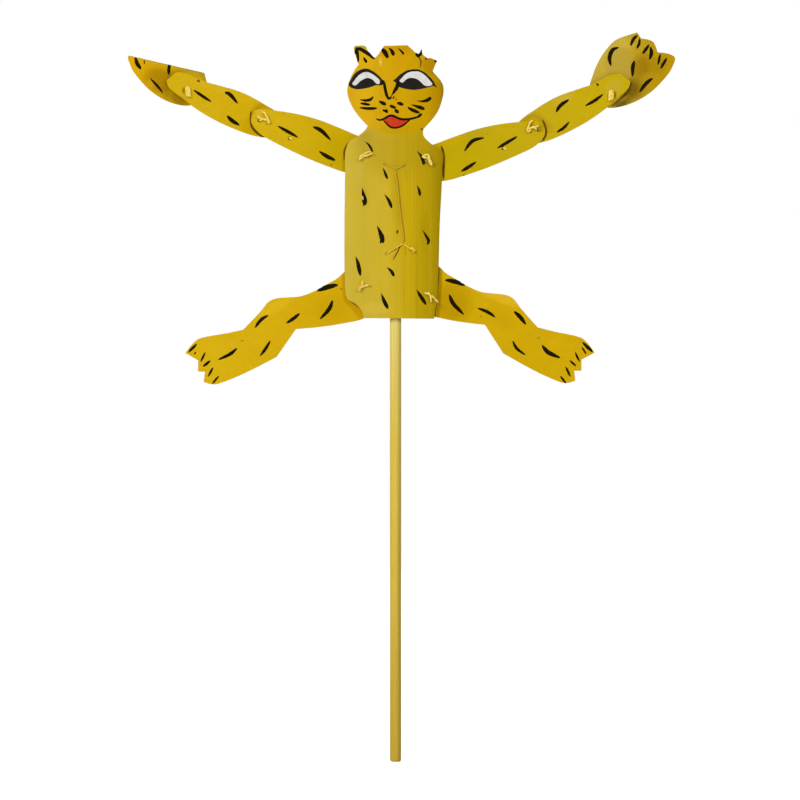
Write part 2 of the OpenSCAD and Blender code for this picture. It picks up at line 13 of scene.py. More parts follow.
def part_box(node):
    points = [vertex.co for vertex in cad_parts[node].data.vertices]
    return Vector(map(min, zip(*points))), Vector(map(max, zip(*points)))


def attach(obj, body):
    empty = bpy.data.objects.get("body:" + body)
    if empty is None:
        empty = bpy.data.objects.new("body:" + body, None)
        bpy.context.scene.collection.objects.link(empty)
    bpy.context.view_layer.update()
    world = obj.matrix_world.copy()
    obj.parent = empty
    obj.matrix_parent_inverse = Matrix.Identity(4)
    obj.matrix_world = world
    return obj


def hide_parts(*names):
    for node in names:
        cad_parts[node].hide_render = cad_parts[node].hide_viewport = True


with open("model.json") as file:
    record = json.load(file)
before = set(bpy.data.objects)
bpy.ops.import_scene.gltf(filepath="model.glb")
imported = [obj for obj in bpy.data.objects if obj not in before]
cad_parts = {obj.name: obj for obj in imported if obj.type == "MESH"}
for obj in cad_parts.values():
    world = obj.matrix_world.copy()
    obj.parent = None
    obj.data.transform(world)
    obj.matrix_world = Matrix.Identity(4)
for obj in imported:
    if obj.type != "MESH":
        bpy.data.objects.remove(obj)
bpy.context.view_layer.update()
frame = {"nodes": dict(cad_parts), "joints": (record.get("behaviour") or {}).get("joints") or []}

# Camera: a long lens, level with the middle of the picture and square to the
# painted face, as the puppet was photographed.
MM = 0.001
picture_width = 720
picture_middle_x, picture_middle_z = 4, 325.4
face_y = -4
camera_distance = 3200


def add_object(name, data, material=None):
    """Puts new data into the scene as an object at the origin, in its material."""
    if material:
        data.materials.append(material)
    made = bpy.data.objects.new(name, data)
    bpy.context.scene.collection.objects.link(made)
    return made


camera_data = bpy.data.cameras.new("camera")
camera_data.lens = camera_data.sensor_width * camera_distance / picture_width
camera = add_object("camera", camera_data)
camera.location = Vector((picture_middle_x, face_y - camera_distance, picture_middle_z)) * MM
camera.rotation_euler = (math.radians(90), 0, 0)
bpy.context.scene.camera = camera


# Body and head: one sheet of card, rolled back at both sides. The head is
# brushed in golden yellow, the body in a thin olive yellow that leaves the
# card's upright grain to be seen.
def wire(tree, kind, inputs=None, **settings):
    """A shader node with its settings made and its inputs filled or linked."""
    made = tree.nodes.new(kind)
    for name, value in settings.items():
        setattr(made, name, value)
    for socket, value in (inputs or {}).items():
        if isinstance(value, bpy.types.NodeSocket):
            tree.links.new(value, made.inputs[socket])
        else:
            made.inputs[socket].default_value = value
    return made


def maths(tree, operation, a, b=0.0, c=0.0):
    """One step of arithmetic; only some steps read b and c."""
    return wire(tree, "ShaderNodeMath", {0: a, 1: b, 2: c}, operation=operation).outputs[0]


def spread(tree, value, low, high, to_low=0.0, to_high=1.0, smooth=False):
    """Maps a value's span low to high onto another span."""
    kind = "SMOOTHSTEP" if smooth else "LINEAR"
    inputs = {"Value": value, "From Min": low, "From Max": high,
              "To Min": to_low, "To Max": to_high}
    return wire(tree, "ShaderNodeMapRange", inputs, interpolation_type=kind).outputs[0]


def blended(tree, share, a, b):
    """Colour a, which turns into colour b by the share."""
    return wire(tree, "ShaderNodeMix", {0: share, 6: a, 7: b}, data_type="RGBA").outputs[2]


def noisy(tree, place, scale, detail, roughness=0.5):
    """A cloudy pattern. A scale of three numbers draws it out into streaks."""
    if isinstance(scale, tuple):
        place = wire(tree, "ShaderNodeMapping", {"Vector": place, "Scale": scale}).outputs[0]
        scale = 1.0
    return wire(tree, "ShaderNodeTexNoise", {
        "Vector": place, "Scale": scale, "Detail": detail, "Roughness": roughness}).outputs[0]


def paint(red, green, blue):
    """A colour as it is seen on a screen, 0 to 255, made linear for the shader."""
    def line(value):
        share = value / 255
        return share / 12.92 if share <= 0.04045 else ((share + 0.055) / 1.055) ** 2.4
    return (line(red), line(green), line(blue), 1)


def shaded(tree, value, low, high, shades):
    """The shade that belongs to a value between low and high. Each shade comes with
    its share of the way, the first at 0 and the last at 1."""
    ramp = wire(tree, "ShaderNodeValToRGB", {0: spread(tree, value, low, high)})
    stops = ramp.color_ramp.elements
    stops[0].color = paint(*shades[0][1])
    stops[1].color = paint(*shades[-1][1])
    for share, colour in shades[1:-1]:
        stops.new(share).color = paint(*colour)
    return ramp.outputs[0]


def new_material(name):
    """A material, its node tree, and the socket that gives the place on the piece."""
    material = bpy.data.materials.new(name)
    material.use_nodes = True
    tree = material.node_tree
    return material, tree, wire(tree, "ShaderNodeTexCoord").outputs["Object"]


def coat(tree, colour, rough, height, specular, tint=None, strength=0.3, depth=0.2):
    """Fills in the surface: its colour and roughness, a relief of the given strength
    and depth in mm, and the level and tint of its gloss."""
    surface = tree.nodes["Principled BSDF"]
    relief = wire(tree, "ShaderNodeBump", {
        "Height": height, "Strength": strength, "Distance": depth * MM}).outputs[0]
    for socket, value in (("Base Color", colour), ("Roughness", rough), ("Normal", relief)):
        tree.links.new(value, surface.inputs[socket])
    surface.inputs["Specular IOR Level"].default_value = specular
    if tint:
        surface.inputs["Specular Tint"].default_value = tint
    return surface


def new_group(name, colours=(), values=(), vectors=(), gives=("Colour",)):
    """An empty node group, the sockets of what it is given, of which the first is the
    place on the piece, and the sockets of what it gives out."""
    group = bpy.data.node_groups.new(name, "ShaderNodeTree")
    for kind, labels in (("Vector", ("Place", *vectors)), ("Color", colours), ("Float", values)):
        for label in labels:
            group.interface.new_socket(label, in_out="INPUT", socket_type="NodeSocket" + kind)
    for label in gives:
        kind = "Color" if label == "Colour" else "Float"
        group.interface.new_socket(label, in_out="OUTPUT", socket_type="NodeSocket" + kind)
    given = group.nodes.new("NodeGroupInput").outputs
    return group, given, group.nodes.new("NodeGroupOutput").inputs


def give_out(group, out, *results):
    """Links a group's results to the sockets that it gives out, in their order."""
    for socket, result in zip(out, results):
        group.links.new(result, socket)
    return group


def placed(tree, group, **given):
    """A node group put into a material with its own values."""
    return wire(tree, "ShaderNodeGroup", given, node_tree=group).outputs


def make_brushwork():
    """Brushed paint on card: long streaks along X, soft patches and fine specks, and
    bare straw-coloured board where the card is cut."""
    group, given, out = new_group(
        "brushwork", colours=("Colour",), values=("Streaks", "Patches", "Cut"),
        gives=("Colour", "Roughness", "Height"))
    place = given["Place"]
    streak = noisy(group, place, (6, 1, 330), 5.0, 0.62)
    band = noisy(group, place, (2, 1, 60), 2.0)
    patch = noisy(group, place, 34.0, 3.0)
    speck = noisy(group, place, 1500.0, 2.0, 0.6)
    lean = maths(group, "MULTIPLY", spread(group, streak, 0.25, 0.75, -1, 1), given["Streaks"])
    for pattern, amount in ((band, "Streaks"), (patch, "Patches")):
        swing = spread(group, pattern, 0.3, 0.7, -1, 1)
        lean = maths(group, "MULTIPLY_ADD", swing, given[amount], lean)
    tone = maths(group, "ADD", lean, 1.0)
    toned = wire(group, "ShaderNodeVectorMath", {0: given["Colour"], 3: tone}, operation="SCALE")
    straw = blended(group, spread(group, speck, 0.3, 0.7), paint(196, 166, 78),
                    paint(226, 203, 128))
    bare = maths(group, "MULTIPLY", given["Cut"], 0.75)
    rough = maths(group, "MULTIPLY_ADD", spread(group, speck, 0.3, 0.7, -1, 1), 0.06, 0.5)
    rough = maths(group, "MULTIPLY_ADD", lean, -0.5, rough)
    tall = maths(group, "MULTIPLY_ADD", streak, 0.85, maths(group, "MULTIPLY", speck, 0.15))
    return give_out(group, out, blended(group, bare, toned.outputs[0], straw), rough, tall)


def make_blot():
    """A soft-edged oval of another shade over the one under it. Size is its half width
    and half height, and Hard the share of it that is at full strength."""
    group, given, out = new_group("blot", colours=("Under", "Over"), values=("Hard", "Strength"),
                                  vectors=("Middle", "Turn", "Size"))
    oval = wire(group, "ShaderNodeMapping", {
        "Vector": given["Place"], "Location": given["Middle"], "Rotation": given["Turn"],
        "Scale": given["Size"]}, vector_type="TEXTURE")
    far = wire(group, "ShaderNodeVectorMath", {0: oval.outputs[0]}, operation="LENGTH")
    share = spread(group, far.outputs["Value"], given["Hard"], 1.0, given["Strength"], 0.0,
                   smooth=True)
    return give_out(group, out, blended(group, share, given["Under"], given["Over"]))


def make_painted_shade_ring():
    """Painted shade in a ring round a pin, where the card in front shades the card behind:
    it starts at the radius Inner, fades out at Outer, both in mm, and has a soft rim inside."""
    rim_width = 4
    group, given, out = new_group("painted_shade_ring", colours=("Under", "Soil"),
                                  values=("Inner", "Outer", "Strength"), vectors=("Shift",))
    from_pin = wire(group, "ShaderNodeMapping", {
        "Vector": given["Place"], "Location": given["Shift"], "Scale": (1 / MM, 0, 1 / MM)})
    radius = wire(group, "ShaderNodeVectorMath", {0: from_pin.outputs[0]},
                  operation="LENGTH").outputs["Value"]
    start = maths(group, "SUBTRACT", given["Inner"], rim_width)
    rim = spread(group, radius, start, given["Inner"], smooth=True)
    fade = spread(group, radius, given["Inner"], given["Outer"], 1.0, 0.0, smooth=True)
    share = maths(group, "MULTIPLY", maths(group, "MULTIPLY", rim, fade), given["Strength"])
    return give_out(group, out, blended(group, share, given["Under"], given["Soil"]))


brushwork, blot, painted_shade_ring = make_brushwork(), make_blot(), make_painted_shade_ring()


def card_material(name, turn, tint, streaks=0.02, cut_axis=None, blots=(), ring_of_shade=None):
    """Painted card. turn is the brush direction's rise from level, in degrees, and
    tint(tree, place) gives the paint's colour over the card, which the blots then
    change here and there, with marks, tone and painted light and shade. The card shows
    its cut edge where it faces along cut_axis, or else anywhere but forwards and back.
    The last argument is the centre of a ring of painted shade round a pin, the radii
    between which that fades, and its strength."""
    material, tree, place = new_material(name)
    brush = wire(tree, "ShaderNodeMapping", {
        "Vector": place, "Rotation": (0, math.radians(turn), 0)}).outputs[0]
    facing = wire(tree, "ShaderNodeTexCoord").outputs["Normal"]
    depth = wire(tree, "ShaderNodeSeparateXYZ", {0: facing}).outputs["Y"]
    if cut_axis:
        side = wire(tree, "ShaderNodeVectorMath", {0: facing, 1: cut_axis},
                    operation="DOT_PRODUCT").outputs["Value"]
        cut = spread(tree, maths(tree, "ABSOLUTE", side), 0.55, 0.75)
    else:
        cut = spread(tree, maths(tree, "ABSOLUTE", depth), 0.45, 0.3)
    plain = colour = tint(tree, place)
    for x, z, long, high, rise, over, strength, *hard in blots:
        colour = placed(tree, blot, Place=place, Under=colour, Over=paint(*over),
                        Middle=(x * MM, 0, z * MM), Turn=(0, -math.radians(rise), 0),
                        Size=(long / 2 * MM, 1, high / 2 * MM), Strength=strength,
                        Hard=hard[0] if hard else 0.2)["Colour"]
    # A ring of painted shade round the pin, where the card in front shades this one
    if ring_of_shade:
        centre, inner, outer, strength = ring_of_shade
        colour = placed(tree, painted_shade_ring, Place=place, Under=colour, Soil=paint(96, 66, 4),
                        Shift=(-centre.x, 0, -centre.z), Inner=inner, Outer=outer,
                        Strength=strength)["Colour"]
    # The back has neither blots nor ring
    colour = blended(tree, spread(tree, depth, -0.1, 0.1), colour, plain)
    worked = placed(tree, brushwork, Place=brush, Colour=colour, Streaks=streaks, Patches=0.02,
                    Cut=cut)
    coat(tree, *worked, specular=0.06, tint=(1, 0.8, 0.3, 1), strength=0.1, depth=0.3)
    return material


def dress(node, material, crease_angle=28):
    """Gives a CAD node its material, and smooth shading over its curved faces up to
    the angle between two faces that is a crease, in degrees."""
    piece = frame["nodes"][node]
    piece.data.materials.clear()
    piece.data.materials.append(material)
    piece.data.polygons.foreach_set("use_smooth", [True] * len(piece.data.polygons))
    weld = piece.modifiers.new("weld", "WELD")
    weld.merge_threshold = 0.001 * MM
    split = piece.modifiers.new("split", "EDGE_SPLIT")
    split.split_angle = math.radians(crease_angle)


# Shades from the left edge to the right one, each with its share of the way, and the
# half widths over which they go. Their darkening towards the right edge is painted
# shade, where the card rolls back from the light
body_half, head_half = 45 * MM, 44 * MM
body_shades = [(0, (203, 178, 60)), (0.12, (202, 174, 50)), (0.4, (206, 176, 44)),
               (0.62, (196, 164, 12)), (0.85, (180, 150, 6)), (0.95, (160, 132, 2)),
               (1, (126, 100, 2))]
head_shades = [(0, (208, 158, 20)), (0.18, (218, 172, 20)), (0.5, (203, 158, 6)),
               (0.8, (198, 154, 0)), (0.94, (178, 138, 0)), (1, (150, 114, 0))]
# Where the two paints meet under the chin: its height, how it bows up to both sides,
# how far it wavers and how softly it ends
chin_z, chin_bow, chin_waver, chin_soft = 561.5 * MM, 9.0, 2 * MM, 4.5 * MM


def torso_tint(tree, place):
    across = wire(tree, "ShaderNodeSeparateXYZ", {0: place}).outputs
    body = shaded(tree, across["X"], -body_half, body_half, body_shades)
    # Upright grain of the card, which the thin body paint lets through: dark lines
    # and pale ones, strongest a little right of the middle
    grain = noisy(tree, place, (430, 1, 4), 3.0, 0.55)
    middle = maths(tree, "ABSOLUTE", maths(tree, "SUBTRACT", across["X"], 14 * MM))
    middle = spread(tree, middle, 26 * MM, 6 * MM, 0.12, 1.0, smooth=True)
    for low, high, strength, shade in ((0.55, 0.78, 0.5, (150, 120, 2)),
                                       (0.46, 0.3, 0.25, (216, 188, 70))):
        line = maths(tree, "MULTIPLY", spread(tree, grain, low, high), middle)
        body = blended(tree, maths(tree, "MULTIPLY", line, strength), body, paint(*shade))
    # The head's gold, with warmer blotches
    head = shaded(tree, across["X"], -head_half, head_half, head_shades)
    warm = spread(tree, noisy(tree, place, 46.0, 2.0), 0.5, 0.75)
    head = blended(tree, maths(tree, "MULTIPLY", warm, 0.5), head, paint(212, 150, 8))
    chin = maths(tree, "MULTIPLY", across["X"], across["X"])
    chin = maths(tree, "MULTIPLY_ADD", chin, chin_bow, chin_z)
    chin = maths(tree, "MULTIPLY_ADD", noisy(tree, place, 90.0, 2.0), chin_waver, chin)
    over = maths(tree, "SUBTRACT", across["Z"], chin)
    return blended(tree, spread(tree, over, 0.0, chin_soft, smooth=True), body, head)


# Each blot is x, z, width, height, rise in degrees, colour, strength and sometimes
# the share at full strength: painted shadows round the knots at the shoulder and hip
# holes, a painted highlight on the forehead, painted shade on the ears and crown, and
# duller, paler and darker patches on the neck and chest
torso_blots = [
    (-18.6, 545.6, 4, 3, 0, (140, 108, 8), 0.7), (-30.6, 541, 6, 2.6, 20, (126, 94, 6), 0.7),
    (-23.6, 544.2, 9, 3, 24, (104, 76, 3), 0.8), (26.4, 538.4, 6, 4.4, 30, (116, 86, 2), 0.8),
    (35.6, 537.6, 4, 6, 0, (130, 100, 2), 0.6), (-22.6, 427.4, 5, 2.6, 0, (138, 106, 10), 0.7),
    (-29, 424.6, 5, 3, 30, (140, 108, 10), 0.6),
    (-13.4, 630, 4, 12, 0, (255, 200, 88), 0.75, 0.1),
    (-31.4, 643.6, 22, 6, -4, (178, 158, 62), 0.95, 0.5),
    (-9.6, 643.8, 8, 4.4, 40, (176, 156, 60), 0.8, 0.4),
    (34, 627, 26, 24, 0, (176, 128, 2), 0.75, 0.5), (8, 646, 52, 24, 0, (190, 140, 2), 0.6, 0.3),
    (0, 548, 110, 66, 0, (174, 142, 18), 0.45, 0.3),
    (-27, 562, 30, 26, 60, (164, 140, 50), 0.4, 0.1),
    (-33, 533, 16, 40, 0, (204, 178, 66), 0.5, 0.2),
    (26, 478, 14, 60, 0, (168, 136, 4), 0.35, 0.2),
    (2, 505, 16, 90, 4, (184, 150, 6), 0.5, 0.3),
    (-18, 408, 40, 16, 0, (216, 184, 66), 0.6, 0.3)]
dress("torso", card_material("olive_and_gold_card", 90, torso_tint, streaks=0.03,
                             blots=torso_blots))

# Brush marks on the body: black paint put on with one touch of a pointed brush
# each, thin where the brush lands and fat where it lifts.
flat_half, roll_left, roll_right, card_t = 20, 85, 62, 1
torso_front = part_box("torso")[0].y / MM


def lay_on_torso(x, z, lift):
    """The point of the rolled card at x and z, raised from it by lift."""
    past = max(0, abs(x) - flat_half)
    outer = (roll_left if x < 0 else roll_right) + card_t
    tilt = math.asin(past / outer)
    side = math.copysign(1, x)
    return Vector((x + side * lift * math.sin(tilt),
                   torso_front + outer * (1 - math.cos(tilt)) - lift * math.cos(tilt), z))


def curved(t, before, a, b, after):
    """The point at the share t of a smooth curve from a to b, between two more."""
    return ((2 * t**3 - 3 * t**2 + 1) * a + (t**3 - 2 * t**2 + t) * (b - before) / 2
            + (3 * t**2 - 2 * t**3) * b + (t**3 - t**2) * (after - a) / 2)


def along_path(points, share):
    """The point at a share of a smooth path, and the direction across it."""
    spans = len(points) - 1
    at = min(max(share, 0), 1) * spans
    k = min(int(at), spans - 1)
    t = at - k
    four = [Vector(points[min(max(k + d, 0), spans)]) for d in (-1, 0, 1, 2)]
    if k == 0:
        four[0] = 2 * four[1] - four[2]
    if k == spans - 1:
        four[3] = 2 * four[2] - four[1]
    before, a, b, after = four
    leave, arrive = (b - before) / 2, (after - a) / 2
    way = ((6 * t**2 - 6 * t) * a + (3 * t**2 - 4 * t + 1) * leave
           + (6 * t - 6 * t**2) * b + (3 * t**2 - 2 * t) * arrive)
    way = way.normalized() if way.length > 1e-6 else (b - a).normalized()
    return curved(t, *four), Vector((-way.y, way.x))


def brush_touch(mesh, path, width, belly=0.5, point=1.2, rag=0.03, rounds=56):
    """One touch of the brush: a disc drawn out along path to a leaf, fattest at
    the share belly. point above 1 makes sharp ends, below 1 an even line. rag is how
    ragged its rim is, and rounds the count of points round it."""
    rim = bmesh.ops.create_circle(mesh, cap_ends=True, radius=1, segments=rounds)["verts"]
    lean = math.log(belly) / math.log(0.5)
    for vert in rim:
        share = ((vert.co.x + 1) / 2) ** lean
        half = math.copysign(abs(vert.co.y) ** point, vert.co.y) * width / 2
        spot, across = along_path(path, share)
        grain = Vector((spot.x * 1.3, spot.y * 1.3, half * 3))
        waver, nick = noise.noise(grain), noise.noise(grain * 2.1)
        spot = spot + across * (half * (1 + rag * 2.5 * waver) + rag * width * 0.35 * nick)
        vert.co = (spot.x, spot.y, 0)


def paint_patch(mesh, rim_points, steps=4):
    """A filled patch of paint with a smooth rim through the given points."""
    spans = len(rim_points)
    rim = bmesh.ops.create_circle(mesh, cap_ends=True, radius=1, segments=spans * steps)["verts"]
    for k, vert in enumerate(rim):
        i, part = divmod(k, steps)
        four = [Vector(rim_points[(i + d) % spans]) for d in (-1, 0, 1, 2)]
        spot = curved(part / steps, *four)
        vert.co = (spot.x, spot.y, 0)


# A film's thickness, how deep it sits in the card, and how far past the card it may
# reach before it is drawn back
film_t, film_sink, film_overrun = 0.1, 0.06, 0.25


def finish_film(name, mesh, material, lay, body, slices=(), thick=film_t, base=0.0):
    """Turns flat marks into a film of paint that lies on a bent card: cuts them
    into strips, gives them their thickness and lays every point with lay. Where the
    brush ran over the card's edge, the paint stops there."""
    card = frame["nodes"]["torso" if body == "body" else body]
    surface = BVHTree.FromPolygons([card.matrix_world @ v.co for v in card.data.vertices],
                                   [p.vertices[:] for p in card.data.polygons])
    bmesh.ops.triangulate(mesh, faces=mesh.faces[:])
    for axis, start, end, step in slices:
        normal = Vector((axis == "x", axis == "y", 0))
        at = start
        while at <= end:
            bmesh.ops.bisect_plane(mesh, geom=mesh.verts[:] + mesh.edges[:] + mesh.faces[:],
                                   plane_co=normal * at, plane_no=normal, dist=0.0001)
            at += step
    grown = bmesh.ops.extrude_face_region(mesh, geom=mesh.faces[:], use_keep_orig=True)["geom"]
    upper = {g for g in grown if isinstance(g, bmesh.types.BMVert)}
    top = base + thick
    for vert in mesh.verts:
        lift = top if vert in upper else base - film_sink
        vert.co = lay(vert.co.x, vert.co.y, lift) * MM
        near, _, _, away = surface.find_nearest(vert.co)
        if away > (top + film_overrun) * MM:
            vert.co = near + (vert.co - near) * (top * MM / away)
    bmesh.ops.recalc_face_normals(mesh, faces=mesh.faces[:])
    data = bpy.data.meshes.new(name)
    mesh.to_mesh(data)
    mesh.free()
    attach(add_object(name, data, material), body)


def brush_film(name, touches, material, *where, thick=film_t, base=0.0, **brush):
    """A film of paint of several touches, each a path and its width. where is the
    way that it is laid, the body that it rides on and the strips it is cut into."""
    mesh = bmesh.new()
    for path, width in touches:
        brush_touch(mesh, path, width, **brush)
    finish_film(name, mesh, material, *where, thick=thick, base=base)


def make_black_paint():
    """Brushed black with the fine lines of the brush's hairs, a little brown where thin."""
    material, tree, place = new_material("black_paint")
    thin = noisy(tree, place, 260.0, 3.0)
    hair = noisy(tree, place, 1400.0, 2.0)
    colour = blended(tree, spread(tree, thin, 0.6, 0.85), paint(12, 9, 0), paint(44, 18, 2))
    coat(tree, colour, spread(tree, hair, 0.3, 0.7, 0.38, 0.58), hair, specular=0.08,
         tint=(1, 0.7, 0.25, 1))
    return material


black_paint = make_black_paint()
# Each mark is its path over the card, as x and z, and its width
torso_marks = [
    (((-27.8, 558), (-24.7, 555.6), (-22.3, 552.2), (-20.6, 548.3)), 2.2),
    (((19, 549.7), (22.4, 545.6), (25.1, 540), (24.8, 537)), 3),
    (((-11.6, 534.8), (-9.5, 529.7), (-7.1, 524)), 2.4),
    (((-30.1, 516.6), (-28.9, 510.5), (-27.9, 505), (-27.4, 500.4)), 4.5),
    (((-10.2, 510.8), (-6, 504.7), (-3.3, 497.8)), 3),
    (((19.3, 518.6), (21.3, 513.7), (22, 508.9)), 2.6),
    (((-16.8, 482.3), (-13, 474), (-11.2, 466.4)), 4.5),
    (((23.8, 479), (26.9, 473.9), (29.6, 469), (28.6, 465)), 2.7),
    (((-36, 455), (-33.7, 448), (-31.6, 437)), 3.6),
    (((-8, 445), (-3.9, 441.4), (-1.2, 436.5)), 3),
    (((-13, 421.7), (-10.5, 415), (-6.7, 407.4)), 3.6),
    (((18.6, 425), (22.4, 419), (27.6, 411)), 3.4),
]
torso_slices = [("x", -44.5, -19.5, 2.5), ("x", 20, 45, 2.5)]
on_torso = (lay_on_torso, "body", torso_slices)
marks = bmesh.new()
for path, width in torso_marks:
    brush_touch(marks, path, width, belly=0.66)
# Two drips, and the bristles' stray lines beside two of the marks
drips = ((1.7, 476.8, 1.1), (23.6, 569, 1.6))
stray_lines = ((((-28.9, 504.5), (-28.7, 499.6)), 1.3),
               (((-13.4, 469.5), (-13.6, 466)), 1.4))
for x, z, size in drips:
    brush_touch(marks, ((x - size / 2, z + 0.3), (x + size / 2, z - 0.3)), size, point=0.8)
for path, width in stray_lines:
    brush_touch(marks, path, width)
finish_film("body_marks", marks, black_paint, *on_torso)

# Face: a cat's, brushed on the golden head in black with white eyes and a red
# mouth. The black of each eye is a patch of its own with the white laid on top.
eye_rims = [
    [(-42.4, 609.5), (-40.1, 614), (-37.1, 618.5), (-33.1, 621.8), (-29.1, 623.3), (-25.6, 623.4),
     (-22.6, 622.3), (-19.1, 620.3), (-15.6, 617.5), (-12.4, 614.2), (-10.4, 611.4), (-11.4, 609.2),
     (-14.6, 608.3), (-17.6, 608.6), (-20.6, 607.4), (-24.6, 606.3), (-29.6, 605.3), (-34.6, 605),
     (-38.1, 605.8), (-40.8, 607.2)],
    [(-2.2, 612.5), (0.6, 614.8), (3.1, 617.3), (6.1, 619.5), (9.6, 621.5), (13.6, 622.6),
     (17.6, 622.9), (21.6, 622.4), (24.6, 621), (27.6, 619), (30.6, 616.3), (33.1, 613.5),
     (35.2, 610.4), (36.9, 606.5), (33.8, 608.2), (31.1, 607), (28.6, 606.5), (24.6, 605.5),
     (20.6, 604.8), (16.6, 604.4), (12.6, 604.6), (8.6, 605.3), (5.1, 606.3), (2.4, 607.5),
     (0.5, 610.8)],
]
eye_whites = [
    [(-38.7, 610.8), (-37.3, 612.5), (-35.3, 615.2), (-32.9, 617.6), (-29.9, 619.6), (-27.1, 620.4),
     (-24.2, 620.1), (-20.8, 618.5), (-17.9, 616.4), (-15.4, 614.4), (-14.2, 612.6), (-14.3, 610.6),
     (-15.1, 609.5), (-16.6, 609.6), (-18.1, 610.8), (-20.1, 613), (-22.1, 614.3), (-24.1, 614.9),
     (-26.6, 614.8), (-29.1, 613.8), (-31.6, 612.3), (-33.6, 610.4), (-35.6, 608.8), (-37.4, 608.5),
     (-38.6, 609.5)],
    [(3.6, 612.7), (4.9, 614.2), (7.4, 617.1), (10.3, 619.3), (13.2, 620.5), (16.6, 620.9),
     (20, 620.9), (22.8, 620), (25.7, 618), (28.7, 615.3), (31.2, 612.4), (33, 610.2),
     (32.7, 609), (30.6, 607.9), (28.1, 607.8), (25.6, 608.5), (23.6, 610.5), (21.1, 612.8),
     (18.6, 614.3), (15.1, 615), (12.6, 615), (10.1, 614), (8.1, 612.3), (6.3, 610.8),
     (4.3, 611.5)],
]
mouth_red = [(-10.2, 578), (-6, 580.5), (-3.8, 580.8), (-0.9, 580), (3, 578.2), (11.6, 577.2),
             (9.6, 575.2), (6.2, 572.5), (1.7, 570.8), (-2.2, 570.6), (-5.2, 571.8), (-8.3, 574.8)]
face_lines = [
    (((-11.4, 612.8), (-10.2, 610), (-9.7, 607), (-9.1, 604), (-8.4, 601), (-7.6, 598.6),
      (-6.3, 596.7), (-4.9, 596.9), (-3.7, 598.3)), 2.7, 0.36),
    (((-1.4, 602), (-2.9, 600.2), (-4.3, 597.9)), 0.9, 0.5),
    (((-17.4, 578.4), (-15, 577.3), (-12.2, 577.6), (-9.3, 578.9), (-6.7, 580.5), (-3.8, 581.3),
      (-0.9, 580.5), (3, 578.6), (6.8, 577.8), (12, 578), (17.2, 579.1), (20.4, 580.3),
      (22.8, 582)), 2.1, 0.5),
    (((-11.2, 577.3), (-8.7, 574.6), (-5.4, 571.5), (-2.2, 570.3), (1.7, 570.5), (6.2, 572.1),
      (10, 575), (12.7, 577.3)), 1.7, 0.5),
]
# Path, width and the share of the way at which the touch is fattest
face_touches = [
    (((2.2, 613), (1.6, 608), (-0.3, 604.2), (-2.9, 600.3)), 3.4, 0.4),
    (((-32.1, 595.6), (-27.8, 594.9), (-24.3, 595), (-21.8, 596.2), (-20.2, 598.5)), 2.6, 0.55),
    (((-31.7, 592.4), (-27.2, 591.6), (-22.7, 591)), 2.5, 0.5),
    (((-32.4, 588.4), (-24.4, 587.6), (-16.6, 587.8)), 2.7, 0.55),
    (((18, 594.7), (24.1, 594.1), (28.8, 595.2), (32, 597.9)), 3.3, 0.74),
    (((13.4, 591.3), (19.9, 589.2), (26.3, 587.1)), 3.3, 0.72),
    (((10.8, 588.8), (15.4, 586.1), (21.7, 583.7)), 3.2, 0.6),
    (((-15.2, 594.2), (-8.4, 591)), 3.3, 0.62), (((-5.2, 590.3), (0.4, 587.9)), 2.8, 0.45),
    (((1.1, 592.9), (7.1, 591)), 3.1, 0.6), (((-11.6, 586.5), (-9, 584.8)), 2.1, 0.5),
    (((-9, 587), (-7.4, 583.5)), 2.7, 0.55), (((-0.8, 586.9), (2.8, 583.5)), 3.1, 0.55),
    (((-2.7, 596.2), (-0.9, 598.6)), 1.3, 0.5), (((-0.1, 596.7), (0.9, 595.4)), 0.9, 0.5),
    (((16.6, 579), (20.4, 580.2), (23.6, 583)), 2.5, 0.72),
    (((-12.5, 641.6), (-9.5, 638), (-6.8, 632.8)), 4.3, 0.5),
    (((-6.4, 642.3), (-3, 638.8), (-1.8, 635)), 3.4, 0.66),
    (((1.9, 642.3), (5.1, 639.2), (7.7, 636.1)), 2.0, 0.7),
    (((-29.1, 633.9), (-25.8, 628.9)), 2.6, 0.66),
    (((-34.6, 643), (-35, 639.2), (-34.9, 635.7), (-34.4, 632.3), (-33.7, 629.4)), 4.2, 0.46),
    (((-36, 642), (-31.4, 640.9), (-27.2, 638.5), (-23.4, 636), (-20.3, 633.4), (-18.3, 632.2)),
     3.4, 0.4),
    (((18.2, 637.4), (19.5, 635.4), (20.9, 633.9)), 2.6, 0.5),
    (((20, 633.6), (21.9, 636.4), (23, 639), (23.7, 642.6)), 3.2, 0.5),
    (((26.7, 632.6), (28.4, 632.1)), 1.8, 0.5), (((35, 631.4), (37.2, 629.8)), 2.9, 0.6),
    (((32.6, 620.6), (33.4, 620)), 1.2, 0.5),
]
face = bmesh.new()
for path, width, belly in face_lines:
    brush_touch(face, path, width, belly, point=0.45, rounds=80)
for path, width, belly in face_touches:
    brush_touch(face, path, width, belly, point=0.95)
finish_film("face_lines", face, black_paint, *on_torso)


def make_clouding():
    """Smooth paint that clouds from a pale shade into a deep one, and from one
    roughness to another."""
    group, given, out = new_group("clouding", colours=("Pale", "Deep"), values=("From", "To"),
                                  gives=("Colour", "Roughness", "Height"))
    cloud = noisy(group, given["Place"], 240.0, 4.0)
    colour = blended(group, spread(group, cloud, 0.35, 0.7), given["Pale"], given["Deep"])
    rough = spread(group, cloud, 0.3, 0.7, given["From"], given["To"])
    return give_out(group, out, colour, rough, cloud)


clouding = make_clouding()


def plain_paint(name, pale, deep, rough):
    material, tree, place = new_material(name)
    clouded = placed(tree, clouding, Place=place, Pale=paint(*pale), Deep=paint(*deep),
                     From=rough, To=rough + 0.12)
    coat(tree, *clouded, specular=0.1)
    return material


def patch_film(name, rims, material, **depth):
    """A film of paint on the head, filled in within each rim."""
    mesh = bmesh.new()
    for rim in rims:
        paint_patch(mesh, rim)
    finish_film(name, mesh, material, *on_torso, **depth)


